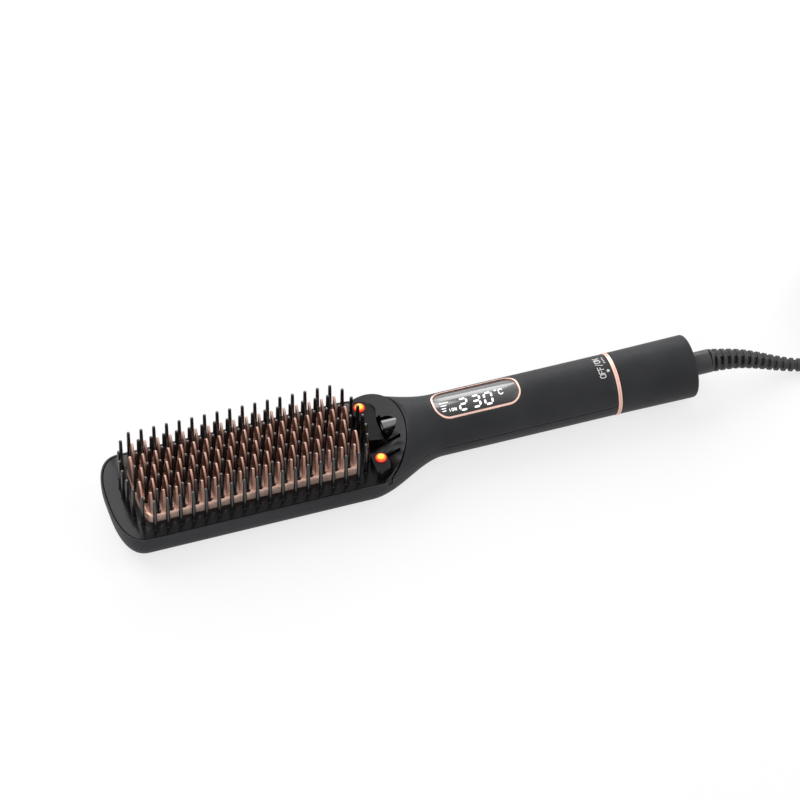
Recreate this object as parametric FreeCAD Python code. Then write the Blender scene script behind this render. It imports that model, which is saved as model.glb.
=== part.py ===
import FreeCAD, Part
import math
import os
from FreeCAD import Vector

# Heated straightening brush lying on its back, bristles up.
# X runs from the head (-) to the cord (+), Z is up, the table is Z = 0.

# ---- driving sizes, mm ----
head_length = 145.0         # head tip to the top of the ramp
neck_lap = 22.5             # the neck starts this far before the ramp's top
neck_length = 40.0          # from the straight head to the round handle
handle_length = 87.0        # round handle up to the trim ring
dial_length = 39.3
collar_length = 10.5        # smooth collar outside the dial
relief_length = 53.65       # strain relief, measured along X
head_width = 56.0
overall_height = 37.0       # table to the tips of the tallest bristles
handle_radius = 15.0
axis_height = 15.6          # handle axis above the table
wall = 2.0                  # moulded shells
seam = 0.15                 # gap between mouldings that meet
fit = 0.30                  # clearance round curved or moving pieces

ring_width = 1.9
ring_radius = handle_radius + 0.25
dial_rim_radius = handle_radius + 0.45
body_length = head_length - neck_lap + neck_length + handle_length + ring_width + seam + dial_length
overall_length = body_length + collar_length + relief_length     # 355

head_tip_x = -overall_length / 2
neck_start_x = head_tip_x + head_length - neck_lap
neck_end_x = neck_start_x + neck_length
ring_x = neck_end_x + handle_length     # front face of the metal trim ring

tip_round = 14.0            # length over which the head's end rounds off
tip_power = 2.5
head_squareness = 4.0       # superellipse power of the head's back
frame_inset = 1.3           # bezel edge inside the shell's edge
face_drop = 0.4             # bezel border below the handle axis
ramp_rise = handle_radius - 1.6     # bezel ramp at its top, above the axis
ramp_length = 18.0
ramp_x = head_tip_x + head_length - ramp_length     # foot of the ramp
frame_thick = 3.0
ring_depth = 2.6            # how deep the ring bristles stand in the bezel
bevel_width = 5.0
bevel_height = 0.9

# ---- bristles and heating plate ----
columns = 17                # bristles along the head
row_gap = 8.0               # between rows of the inner field
ring_row_y = 22.32          # outer bristles, from the middle
ring_bulge = 9.2            # how far the outer ring's ends bow out
arc_bristles = 7            # on each bowed end
first_column_x = head_tip_x + 17.5
last_column_x = ramp_x - 10.652
pitch = (last_column_x - first_column_x) / (columns - 1)
bristle_foot = 1.1          # corner radii
bristle_top = 0.75
pin_sides = 4
outer_tip_z = 35.6
field_drop = (0.0, 0.25, 0.75)   # tips of the middle, next and side rows below the highest
plate_half_width = 18.2
plate_bulge = 3.9
plate_top = 1.0             # above the axis
plate_thick = 3.0
fin_height = 18.0
fin_half_width = 6.1
fin_thick = 1.25
hole_clearance = 0.05

# ---- heater under the plate ----
tray_depth = 8.0
tray_gap = 0.6              # tray edge inside the plate's edge
tray_wall = 2.8
tray_base = 1.5
heater_thick = 4.5
heater_width = 12.0
heater_spacing = 15.0       # middle to middle of the two heaters
heater_start = 8.0          # from the first column of bristles
heater_stop = 16.0          # before the last column
sheet_thick = 0.5
sheet_lap = 2.0             # insulation sheet beyond the heaters
clamp_width = 18.0
clamp_thick = 0.8
clamp_foot = 3.0

# ---- lamps and ion outlet ----
lamp_x = ramp_x + 2.3
lamp_pad = 3.4              # pad round each lamp, above the axis
outlet_floor = 4.0          # recess floor above the axis
lamp_y = 16.6
lamp_radius = 2.5
lamp_top = 7.2              # above the axis
lamp_board_length = 7.2
lamp_board_width = 40.0
outlet_x = ramp_x + 7.5     # straight side of the outlet's recess
outlet_radius = 7.0
nozzle_radius = 2.0
nozzle_length = 6.4
nozzle_z = ramp_rise - 4.8  # above the axis

# ---- handle parts ----
window_x = neck_end_x + 19.3    # middle of the display window
window_length = 43.4
window_width = 17.2
window_corner = 7.0
window_thick = 1.8
trim_width = 1.3
trim_proud = 0.25
inner_radius = handle_radius - wall
module_length = 34.0        # display module
module_width = 12.0
board_width = 2 * (inner_radius - 2.0)
board_thick = 1.6
board_drop = 3.0            # board's top below the axis
relay_height = inner_radius - 7.0
capacitor_radius = 4.0
capacitor_height = 9.0
ion_size = 9.0              # length and height of the ion generator
hub_radius = handle_radius - 4.1
spigot_radius = hub_radius - 1.9    # tube that carries the dial
spigot_bore = spigot_radius - 1.7
spigot_flange = inner_radius - 0.4
spigot_flange_thick = 2.4
stub_radius = 4.6
stub_length = 9.0
collar_radius = 5.7
screw_radius = 1.3
boss_radius = 3.2
screw_head_radius = 2.6
screw_depth = 2.2

# ---- cord ----
cord_diameter = 6.0
relief_core = 2.6
relief_root = 5.5           # rib radius at the handle
relief_tip = 3.1            # and at the cord
relief_ribs = 17
relief_rib = 1.6
coil_turn_diameter = 66.0   # middle of the turns
coil_wide = 4               # turns side by side
coil_high = 2               # layers
plug_width = 26.0
plug_thick = 13.7
plug_length = 36.0
pin_spacing = 18.6
pin_radius = 2.0
pin_length = 19.0

middle = Vector(0, 0, axis_height)
dial_x = ring_x + ring_width + seam
dial_end = dial_x + dial_length
hub_x = ring_x - 2.2            # inner end of the dial's hub
tube_end = dial_end - wall - 3.0
collar_end = dial_end + collar_length
cord_x = collar_end + relief_length     # where the strain relief ends
face_z = axis_height - face_drop
half_width = head_width / 2
plate_z = axis_height + plate_top
plate_floor = plate_z - plate_thick
tray_floor = plate_floor - tray_depth
lamp_board_top = face_z - frame_thick - 0.4
spigot_x = ring_x - 12.0
ion_x = ramp_x + ramp_length + 1.0
ion_floor = axis_height - handle_radius + 5.0
board_top = axis_height - board_drop
board_x0 = neck_end_x - 6.0
board_x1 = spigot_x - 19.0      # clear of the contact block
board_posts = (board_x0 + 6.0, board_x1 - 10.0)
rib_places = (first_column_x + 15.0, first_column_x + 50.0, last_column_x - 15.0)
head_screws = ((ramp_x + 10.5, -12.0), (ramp_x + 10.5, 12.0))
tail_screw = (spigot_x - 14.0, 0.0)
screw_places = head_screws + (tail_screw,)
slope = (ramp_rise + face_drop) / ramp_length
stay_places = (spigot_x - 1.7, spigot_x + spigot_flange_thick + 0.2)    # either side of the tube's flange
coil_x, coil_y = cord_x + 50.5, 17.0
coil_top = coil_high * cord_diameter
nodes = {}


def save(name, shape):
    nodes[name] = shape


def box(x0, x1, y0, y1, z0, z1):
    return Part.makeBox(x1 - x0, y1 - y0, z1 - z0, Vector(x0, y0, z0))


def rod(x0, x1, radius, y=0.0, z=axis_height):
    return Part.makeCylinder(radius, x1 - x0, Vector(x0, y, z), Vector(1, 0, 0))


def pipe(x0, x1, outer, inner, y=0.0, z=axis_height):
    return rod(x0, x1, outer, y, z).cut(rod(x0 - 1, x1 + 1, inner, y, z))


def post(x, y, z0, z1, radius):
    return Part.makeCylinder(radius, z1 - z0, Vector(x, y, z0))


def stud_corners(x, y, radius):
    turns = [math.pi * i / 5 for i in range(11)]
    return [Vector(x + radius * math.cos(turn), y + radius * math.sin(turn), 0) for turn in turns]


def stud(x, y, z0, z1, radius):
    """ten-sided post or hole, for bosses and small screws"""
    outline = Part.makePolygon([p + Vector(0, 0, z0) for p in stud_corners(x, y, radius)])
    return Part.Face(outline).extrude(Vector(0, 0, z1 - z0))


def fuse(shapes):
    whole = shapes[0]
    if len(shapes) > 1:
        whole = whole.multiFuse(shapes[1:])
    return whole.removeSplitter()


def largest(shape):
    return max(shape.Solids, key=lambda solid: solid.Volume)


def ease(t):
    t = min(max(t, 0.0), 1.0)
    return t * t * (3 - 2 * t)


# ---- outer form of the two shells ----
def section(x, inset, steps):
    """closed curve round the body at x, moved inwards by inset"""
    head = 1 - ease((x - neck_start_x) / neck_length)
    side = handle_radius + (half_width - handle_radius) * head
    back = handle_radius + (axis_height + 0.3 - handle_radius) * head
    power = 2 + (head_squareness - 2) * head
    reach = (x - head_tip_x) / tip_round
    if reach < 1:
        shrink = (1 - (1 - reach) ** tip_power) ** (1 / tip_power)
        side *= shrink
        back *= shrink
    side -= inset
    back -= inset
    front = handle_radius * min(1.0, side / (handle_radius - inset)) - inset
    points = []
    for i in range(steps):
        turn = 2 * math.pi * i / steps
        c, s = abs(math.cos(turn)), abs(math.sin(turn))
        height = front if math.sin(turn) > 0 else back
        n = 2 if math.sin(turn) > 0 else power
        r = ((c / side) ** n + (s / height) ** n) ** (-1 / n)
        points.append(Vector(x, r * math.cos(turn), axis_height + r * math.sin(turn)))
    curve = Part.BSplineCurve()
    curve.interpolate(Points=points, PeriodicFlag=True, Parameters=[float(i) for i in range(steps + 1)])
    return Part.Wire([curve.toShape()])


def spread(start, stop, count):
    return [start + (stop - start) * i / (count - 1) for i in range(count)]


def tip_stations(count):
    """places along the head's rounded end, evenly spread over its outline"""
    places = []
    for i in range(count):
        turn = math.radians(21 + 66 * i / count)
        along, across = math.cos(turn) / tip_round, math.sin(turn) / half_width
        r = (along ** tip_power + across ** tip_power) ** (-1 / tip_power)
        places.append(head_tip_x + tip_round - r * math.cos(turn))
    return places


def body_form(inset):
    """outer form of head, neck and handle, or the hollow inside it"""
    steps = 24 if inset else 32
    settle = 6.0
    tip_end = head_tip_x + tip_round + settle
    neck_from, neck_to = neck_start_x - settle, neck_end_x + settle
    tip = [x for x in tip_stations(6) if x > head_tip_x + 1.6 * inset]
    tip += spread(head_tip_x + tip_round, tip_end, 3)
    neck = spread(neck_from, neck_to, 8)
    parts = [Part.makeLoft([section(x, inset, steps) for x in tip], True, False),
             Part.makeLoft([section(x, inset, steps) for x in neck], True, False)]
    for start, stop in ((tip_end, neck_from), (neck_to, ring_x - seam)):
        parts.append(Part.Face(section(start, inset, steps)).extrude(Vector(stop - start, 0, 0)))
    return parts[0].multiFuse(parts[1:])


# ---- outlines of the head's front, seen from above ----
def bow(x, reach, side, power, sign, z):
    """end curve that bows out along X by reach between y = -side and y = side"""
    points = []
    for i in range(9):
        turn = math.pi * (i / 8 - 0.5)
        c, s = abs(math.cos(turn)), abs(math.sin(turn))
        r = ((c / reach) ** power + (s / side) ** power) ** (-1 / power)
        points.append(Vector(x + sign * r * math.cos(turn), r * math.sin(turn), z))
    curve = Part.BSplineCurve()
    curve.interpolate(Points=points, InitialTangent=Vector(sign, 0, 0), FinalTangent=Vector(-sign, 0, 0))
    return curve.toShape(), points[0], points[-1]


def closed_outline(left, right):
    low, high = left[1], left[2]
    low_side = Part.makeLine(low, right[1])
    high_side = Part.makeLine(right[2], high)
    return Part.Wire([left[0], high_side, right[0], low_side])


def frame_outline(inset, z):
    side = half_width - frame_inset - inset
    tip = head_tip_x + tip_round
    left = bow(tip, tip_round - frame_inset - inset, side, tip_power, -1, z)
    right = bow(ramp_x, ramp_length - inset, side, 2.0, 1, z)
    return closed_outline(left, right)


def plate_outline(offset, z):
    side = plate_half_width + offset
    left = bow(first_column_x, plate_bulge + offset, side, 2.4, -1, z)
    right = bow(last_column_x, plate_bulge + offset, side, 2.4, 1, z)
    return closed_outline(left, right)


def prism(outline, height):
    return Part.Face(outline).extrude(Vector(0, 0, height))


def side_profile(points, half):
    """flat shape in the XZ plane, as wide as the head"""
    wire = Part.makePolygon([Vector(x, -half, z) for x, z in points + points[:1]])
    return Part.Face(wire).extrude(Vector(0, 2 * half, 0))


def air_above_face(clearance):
    """everything in front of the bezel's flat face and ramp"""
    top = axis_height + 60
    far = ramp_length * 2.5
    foot = face_z + clearance
    return side_profile([(head_tip_x - 5, foot), (ramp_x, foot), (ramp_x + far, foot + far * slope),
                         (ramp_x + far, top), (head_tip_x - 5, top)], 40)


# ---- places of the bristles and fins ----
def even_columns():
    return [first_column_x + i * pitch for i in range(columns)]


def odd_columns():
    return [first_column_x + (i - 0.5) * pitch for i in range(columns + 1)]


def field_places():
    """x, y and row number from the middle, of each bristle in the heated field"""
    places = [(x, 0.0, 0) for x in odd_columns()]
    places += [(x, side * row_gap, 1) for side in (-1, 1) for x in even_columns()]
    places += [(x, side * 2 * row_gap, 2) for side in (-1, 1) for x in odd_columns()[1:-1]]
    return places


def fin_places():
    places = [(x, side * row_gap) for side in (-1, 1) for x in odd_columns()]
    places += [(x, y) for y in (-2 * row_gap, 0.0, 2 * row_gap) for x in even_columns()]
    return places


def ring_places():
    places = [(x, side * ring_row_y) for side in (-1, 1) for x in even_columns()]
    for x, sign in ((first_column_x, -1), (last_column_x, 1)):
        for i in range(arc_bristles):
            turn = math.pi * ((i + 1) / (arc_bristles + 1) - 0.5)
            c, s = abs(math.cos(turn)), abs(math.sin(turn))
            r = ((c / ring_bulge) ** 2.2 + (s / ring_row_y) ** 2.2) ** (-1 / 2.2)
            places.append((x + sign * r * math.cos(turn), r * math.sin(turn)))
    return places


def ring_of_points(x, y, z, radius):
    return [Vector(x + radius * math.cos(turn), y + radius * math.sin(turn), z)
            for turn in (2 * math.pi * i / pin_sides for i in range(pin_sides))]


def faceted_pin(x, y, levels):
    """pin with flat sides through (height, radius) levels, from the foot up"""
    rings = [ring_of_points(x, y, z, radius) for z, radius in levels]
    faces = [Part.Face(Part.makePolygon(ring + ring[:1])) for ring in (rings[0], rings[-1])]
    for low, high in zip(rings, rings[1:]):
        for i in range(pin_sides):
            j = (i + 1) % pin_sides
            faces.append(Part.Face(Part.makePolygon([low[i], low[j], high[j], high[i], low[i]])))
    solid = Part.Solid(Part.Shell(faces))
    if solid.Volume < 0:
        solid.reverse()
    return solid


def bristle(x, y, foot_z, tip_z):
    """tapered pin standing in its hole"""
    return faceted_pin(x, y, [(foot_z, bristle_foot), (tip_z, bristle_top)])


def bristle_holes(places, z0, z1):
    radius = bristle_foot + hole_clearance
    return Part.makeCompound([faceted_pin(p[0], p[1], [(z0, radius), (z1, radius)]) for p in places])


def fin(x, y):
    """upright half ellipse across the head, its foot sunk in the plate"""
    edge = plate_half_width - 0.3
    steps = 7
    points = [Vector(x, y - fin_half_width, plate_z - 0.5)]
    for i in range(steps):
        turn = math.pi * (1 - i / (steps - 1))
        points.append(Vector(x, y + fin_half_width * math.cos(turn), plate_z + fin_height * math.sin(turn)))
    points.append(Vector(x, y + fin_half_width, plate_z - 0.5))
    blade = Part.Face(Part.makePolygon(points + points[:1])).extrude(Vector(fin_thick, 0, 0))
    blade.translate(Vector(-fin_thick / 2, 0, 0))
    if abs(y) + fin_half_width > edge:
        blade = blade.common(box(x - 2, x + 2, -edge, edge, 0, 60))
    return blade


def make_heating_plate():
    base = prism(plate_outline(0, plate_floor), plate_thick)
    base = base.cut(bristle_holes(field_places(), plate_floor - 1, plate_z + 1))
    save("heating_plate", base.multiFuse([fin(x, y) for x, y in fin_places()]))


def make_bristles():
    field = [bristle(x, y, plate_floor, overall_height - field_drop[row]) for x, y, row in field_places()]
    save("field_bristles", Part.makeCompound(field))
    ring = [bristle(x, y, face_z - ring_depth, outer_tip_z) for x, y in ring_places()]
    save("ring_bristles", Part.makeCompound(ring))


# ---- shells, bezel and what shows on the head ----
def make_shells():
    outer = body_form(0)
    hollow = body_form(wall)
    skin = outer.cut(hollow)
    low_top = axis_height - seam / 2
    end = ring_x - seam
    back = skin.common(box(head_tip_x - 5, end, -40, 40, 0, low_top))
    back = back.cut(prism(frame_outline(-seam, face_z - frame_thick), 30))
    ribs = [box(x - 1, x + 1, -13, 13, wall / 2, tray_floor) for x in rib_places]
    ribs += [box(x - 0.8, x + 0.8, -9, 9, wall / 2, ion_floor) for x in (ion_x + 2, ion_x + ion_size - 2)]
    boss_top = axis_height - 4.5
    ribs += [stud(x, y, wall / 2, boss_top, boss_radius) for x, y in screw_places]
    posts = [box(x - 2, x + 2, y - 2, y + 2, 0, board_top - board_thick) for x in board_posts for y in (-7.5, 7.5)]
    stays = [box(x, x + 1.5, -16, 16, 0, low_top) for x in stay_places]
    stays = Part.makeCompound(stays).cut(rod(spigot_x - 3, ring_x, spigot_radius + fit))
    core = rod(board_x0, end, handle_radius - wall / 2)
    back = back.multiFuse(ribs + [core.common(Part.makeCompound(posts)), core.common(stays)])
    for x, y in screw_places:
        back = back.cut(stud(x, y, -1, 30, screw_radius + 0.15))
        back = back.cut(stud(x, y, -1, screw_depth, screw_head_radius + 0.2))
    save("lower_shell", largest(back))

    high_foot = axis_height + seam / 2
    high = skin.common(box(ramp_x, end, -40, 40, high_foot, 40))
    high = high.cut(air_above_face(0.0))
    high = high.cut(prism(frame_outline(-seam, face_z - frame_thick), 40))
    stays = [box(x, x + 1.5, -16, 16, high_foot, 40) for x in stay_places]
    stays = Part.makeCompound(stays).cut(rod(spigot_x - 3, ring_x, spigot_radius + fit))
    x, y = tail_screw
    boss = stud(x, y, boss_top + seam, 40, boss_radius)
    high = high.multiFuse([core.common(stays), core.common(boss)])
    high = high.cut(stud(x, y, 0, axis_height + 4, screw_radius - 0.1))
    high = high.cut(window_prism(-seam, 0, 40))
    save("upper_shell", largest(high))


def make_bezel():
    body = prism(frame_outline(0, face_z - frame_thick), 40)
    body = body.cut(air_above_face(0))
    hip = Part.makeLoft([frame_outline(0, face_z), frame_outline(bevel_width, face_z + bevel_height)], True, True)
    body = body.fuse(hip)
    under = face_z - frame_thick
    start, stop = ramp_x + 2, ramp_x + ramp_length - 5.5
    hollow = side_profile([(start, under - 1), (start, under), (stop, under + (stop - start) * slope),
                           (stop, under - 1)], 15)
    body = body.cut(hollow)
    for side in (-1, 1):
        pad = stud(lamp_x, side * lamp_y, under, axis_height + lamp_pad, lamp_radius + 2.2)
        body = body.fuse(pad)
        body = body.cut(stud(lamp_x, side * lamp_y, under - 5, 60, lamp_radius + 2 * seam))
    body = body.cut(prism(plate_outline(fit, 0), 60))
    body = body.cut(bristle_holes(ring_places(), face_z - ring_depth, 60))
    recess = post(outlet_x, 0, axis_height + outlet_floor, 60, outlet_radius)
    recess = recess.common(box(outlet_x, outlet_x + 20, -20, 20, 0, 60))
    well = post(outlet_x, 0, axis_height + outlet_floor - 1.5, 60, outlet_radius + 1.5)
    well = well.common(box(outlet_x - 1.5, outlet_x + 20, -20, 20, 0, 60)).cut(air_above_face(-0.4))
    body = body.fuse(well).cut(recess)
    nozzle_axis = axis_height + nozzle_z
    bore_x = outlet_x + outlet_radius - 2
    body = body.cut(rod(bore_x, bore_x + 10, nozzle_radius + seam, 0, nozzle_axis))
    for x, y in head_screws:
        body = body.fuse(stud(x, y, axis_height - 4.5 + seam, under + (x - ramp_x) * slope + 1, boss_radius))
        body = body.cut(stud(x, y, 0, axis_height + 4, screw_radius - 0.1))
    save("front_bezel", body)
    nozzle_end = outlet_x + 1.2 + nozzle_length
    barrel = rod(outlet_x + 1.2, nozzle_end, nozzle_radius, 0, nozzle_axis)
    barrel = barrel.cut(rod(outlet_x, nozzle_end - 1, nozzle_radius - 0.7, 0, nozzle_axis))
    needle = box(outlet_x + 2.5, nozzle_end + 5, -0.4, 0.4, nozzle_axis - 0.4, nozzle_axis + 0.4)
    save("ion_nozzle", barrel.cut(needle))
    save("ion_needle", needle)
    lenses = []
    for side in (-1, 1):
        shoulder = axis_height + lamp_top - 1.4
        stem = stud(lamp_x, side * lamp_y, lamp_board_top, shoulder, lamp_radius)
        rings = [[Vector(p.x, p.y, z) for p in stud_corners(lamp_x, side * lamp_y, radius)]
                 for z, radius in ((shoulder, lamp_radius), (shoulder + 0.9, lamp_radius * 0.8),
                                   (shoulder + 1.4, lamp_radius * 0.4))]
        dome = Part.makeLoft([Part.makePolygon(ring) for ring in rings], True, True)
        lenses.append(stem.fuse(dome).removeSplitter())
    save("lamp_lenses", Part.makeCompound(lenses))
    half_l, half_w = lamp_board_length / 2, lamp_board_width / 2
    foot = lamp_board_top - board_thick
    save("lamp_board", box(lamp_x - half_l, lamp_x + half_l, -half_w, half_w, foot, lamp_board_top))


# ---- display ----
def window_prism(inset, z0, z1):
    half_l, half_w = window_length / 2 - inset, window_width / 2 - inset
    corner = window_corner - inset
    block = box(window_x - half_l, window_x + half_l, -half_w, half_w, z0, z1)
    return block.makeFillet(corner, [e for e in block.Edges if abs(e.tangentAt(e.FirstParameter).z) > 0.99])


def make_display():
    start, stop = window_x - window_length, window_x + window_length
    glass = pipe(start, stop, handle_radius - 0.05, handle_radius - window_thick)
    save("display_window", glass.common(window_prism(trim_width + 0.08, axis_height, 40)))
    band = pipe(start, stop, handle_radius + trim_proud, handle_radius - window_thick)
    hoop = window_prism(0, axis_height, 40).cut(window_prism(trim_width, 0, 60))
    save("display_trim", band.common(hoop))
    top = axis_height + handle_radius - 4.5
    half_l, half_w = module_length / 2, module_width / 2
    save("display_module", box(window_x - half_l, window_x + half_l, -half_w, half_w, board_top, top))


# ---- heater under the plate ----
def make_heater():
    tray = prism(plate_outline(-tray_gap, tray_floor), tray_depth)
    pocket = prism(plate_outline(-tray_gap - tray_wall, tray_floor + tray_base), tray_depth)
    tray = tray.cut(pocket)
    save("heater_tray", tray)
    x0, x1 = first_column_x + heater_start, last_column_x - heater_stop
    level = plate_floor - heater_thick
    middles = (-heater_spacing / 2, heater_spacing / 2)
    half = heater_width / 2
    save("ceramic_heaters", Part.makeCompound([box(x0, x1, y - half, y + half, level, plate_floor) for y in middles]))
    side = heater_spacing / 2 + half + 0.7
    save("insulation_sheet", box(x0 - sheet_lap, x1 + sheet_lap, -side, side, level - sheet_thick, level))
    level -= sheet_thick
    half = clamp_width / 2
    strip = box(x0 + 4, x1 - 4, -half, half, level - clamp_thick, level)
    feet = [box(x, x + clamp_foot, -half, half, tray_floor + tray_base, level - clamp_thick)
            for x in spread(x0 + 8, x1 - 12, 3)]
    save("heater_clamp", fuse([strip] + feet))
    sensor_x = x1 + 4
    save("thermal_fuse", rod(sensor_x, sensor_x + 9, 1.8, -6, plate_floor - 1.8))
    save("temperature_sensor", box(sensor_x, sensor_x + 4, 4, 8, plate_floor - 1.6, plate_floor))


# ---- electronics in the handle ----
def make_electronics():
    half = board_width / 2
    below = board_top - board_thick
    save("main_board", box(board_x0, board_x1, -half, half, below, board_top))
    parts = [box(board_x0 + 16, board_x0 + 30, -6, 6, below - relay_height, below)]
    parts.append(box(board_x0 + 34, board_x0 + 42, -5, 5, below - relay_height + 1, below))
    save("relay_and_filter", Part.makeCompound(parts))
    x = window_x + module_length / 2 + 1 + capacitor_radius
    save("capacitor", post(x, 3, board_top, board_top + capacitor_height, capacitor_radius))
    save("ion_generator", box(ion_x, ion_x + ion_size, -9, 9, ion_floor, ion_floor + ion_size))


# ---- dial, ring and swivel ----
def turned(points):
    """solid of revolution about the handle axis from (x, radius) points"""
    flat = [Vector(x, 0, r) for x, r in points]
    face = Part.Face(Part.makePolygon(flat + flat[:1]))
    return face.revolve(Vector(0, 0, 0), Vector(1, 0, 0), 360).translated(middle)


def make_dial():
    grooved = pipe(ring_x, ring_x + ring_width, ring_radius, hub_radius + fit)
    groove_x = ring_x + ring_width / 2
    groove = pipe(groove_x - 0.2, groove_x + 0.2, ring_radius + 1, ring_radius - 0.35)
    save("trim_ring", grooved.cut(groove))

    front, rim = handle_radius + 0.05, dial_rim_radius
    lip = collar_radius + 0.4
    end_wall = dial_end - wall
    sleeve_end = dial_x + 14
    shell = turned([(dial_x, front), (dial_end - 2, rim), (dial_end - 0.6, rim - 0.6), (dial_end, rim - 2),
                    (dial_end, lip), (end_wall, lip), (end_wall, rim - wall), (dial_x, front - wall)])
    web = turned([(dial_x, front - wall + 0.1), (dial_x + 2.5, front - wall + 0.1), (dial_x + 2.5, hub_radius),
                  (sleeve_end, hub_radius), (sleeve_end, spigot_radius + 0.06), (hub_x, spigot_radius + 0.06),
                  (hub_x, hub_radius), (dial_x, hub_radius)])
    save("end_dial", fuse([shell, web]))
    clip_x = sleeve_end + 0.3
    save("retaining_clip", pipe(clip_x, clip_x + 1.0, hub_radius, spigot_radius - 0.5))

    tube = rod(spigot_x, tube_end, spigot_radius).fuse(rod(spigot_x, spigot_x + spigot_flange_thick, spigot_flange))
    tube = tube.cut(rod(spigot_x - 1, tube_end + 1, spigot_bore))
    tube = tube.cut(pipe(clip_x - 0.05, clip_x + 1.05, spigot_radius + 1, spigot_radius - 0.52))
    save("tail_tube", tube)

    sensor_x = hub_x - 2.4
    sensor = box(sensor_x, sensor_x + 1.2, -8.8, 8.8, axis_height + 1, axis_height + inner_radius - 0.4)
    sensor = sensor.common(rod(sensor_x, sensor_x + 2, inner_radius - 0.2))
    save("dial_sensor_board", sensor.cut(rod(sensor_x - 1, sensor_x + 3, spigot_radius + 0.2)))
    save("dial_wiper", pipe(hub_x - 1.0, hub_x, hub_radius, spigot_radius + 0.3))
    leaf = pipe(hub_x + 0.2, hub_x + 1.7, hub_radius + 1.3, hub_radius + 0.3)
    save("detent_spring", leaf.common(box(ring_x - 3, ring_x, -6, 6, axis_height, 40)))


def make_swivel():
    inner = spigot_bore - 0.06
    stub_x = spigot_x - stub_length
    core = turned([(stub_x, 0), (stub_x, stub_radius), (spigot_x - 0.5, stub_radius), (spigot_x - 0.5, inner),
                   (tube_end + fit, inner), (tube_end + fit, inner + 1.2), (tube_end + 2.4, inner + 1.2),
                   (tube_end + 2.4, collar_radius), (collar_end, collar_radius), (collar_end, 0)])
    save("swivel_core", core)
    save("swivel_clip", pipe(spigot_x - 1.8, spigot_x - 0.5, spigot_bore + 1.6, stub_radius + 0.02))
    starts = (stub_x + 0.5, stub_x + 3.5)
    rings_radius = stub_radius + 1.0
    save("contact_rings", Part.makeCompound([pipe(x, x + 2.0, rings_radius, stub_radius + 0.02) for x in starts]))
    foot, top = axis_height - inner_radius + 0.8, axis_height - rings_radius - 1.3
    block = box(stub_x - 0.4, stub_x + 6.4, -4, 4, foot, top)
    fingers = [box(x + 0.4, x + 1.6, -1.5, 1.5, top, top + 1.0) for x in starts]
    save("contact_brushes", fuse([block] + fingers))


# ---- cord ----
def routed(start_x, points):
    return [(start_x + x, y, z) for x, y, z in points]


relief_route = routed(collar_end, [(0.0, 0.0, axis_height), (12.15, -0.3, 13.9), (23.65, -1.5, 10.3), (34.65, -3.5, 6.3),
                                   (44.65, -5.7, 3.8), (55.65, -8.2, 3.1)])
lead_route = routed(cord_x, [(-1.0, -7.52, 3.1), (12.0, -11.6, 3.05), (24.5, -17.3, 3.0), (36.0, -22.2, 3.0)])
tail_route = routed(coil_x, [(-34.0, 40.8, 9.2), (-41.3, 25.2, 11.3), (-40.2, 8.0, 14.2), (-31.0, -6.5, 16.6),
                             (-15.9, -14.8, 18.5), (1.2, -14.8, 19.0)])


def rounded_path(route, name):
    """straight runs joined by tangent arcs through the route's points"""
    points = [Vector(*p) for p in route]
    edges, start, radii = [], points[0], []
    for before, corner, after in zip(points, points[1:], points[2:]):
        inward = (before - corner).normalize()
        outward = (after - corner).normalize()
        turn = math.pi - inward.getAngle(outward)
        short = min((before - corner).Length, (after - corner).Length)
        radius = 0.45 * short / math.tan(turn / 2)
        reach = 0.45 * short
        enter, leave = corner + inward * reach, corner + outward * reach
        sag = radius * (1 / math.cos(turn / 2) - 1)
        mid = corner + (inward + outward).normalize() * sag
        edges.append(Part.makeLine(start, enter))
        edges.append(Part.Arc(enter, mid, leave).toShape())
        start = leave
        radii.append(round(radius, 1))
    edges.append(Part.makeLine(start, points[-1]))
    path = Part.Wire(edges)
    print(name, "bend radii", radii, "length", round(path.Length, 1))
    return path


def tube_along(path, radius, name):
    first = path.Edges[0]
    start = first.valueAt(first.FirstParameter)
    heading = first.tangentAt(first.FirstParameter)
    ring = Part.Wire([Part.makeCircle(radius, start, heading)])
    tube = path.makePipeShell([ring], True, True)
    expected = math.pi * radius ** 2 * path.Length
    print(name, "volume", round(tube.Volume), "expected", round(expected))
    return tube


def place_on(path, distance):
    """point and heading at a distance along a path"""
    for edge in path.Edges:
        if distance <= edge.Length + 1e-6:
            t = edge.getParameterByLength(min(distance, edge.Length))
            return edge.valueAt(t), edge.tangentAt(t)
        distance -= edge.Length
    last = path.Edges[-1]
    return last.valueAt(last.LastParameter), last.tangentAt(last.LastParameter)


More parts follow.
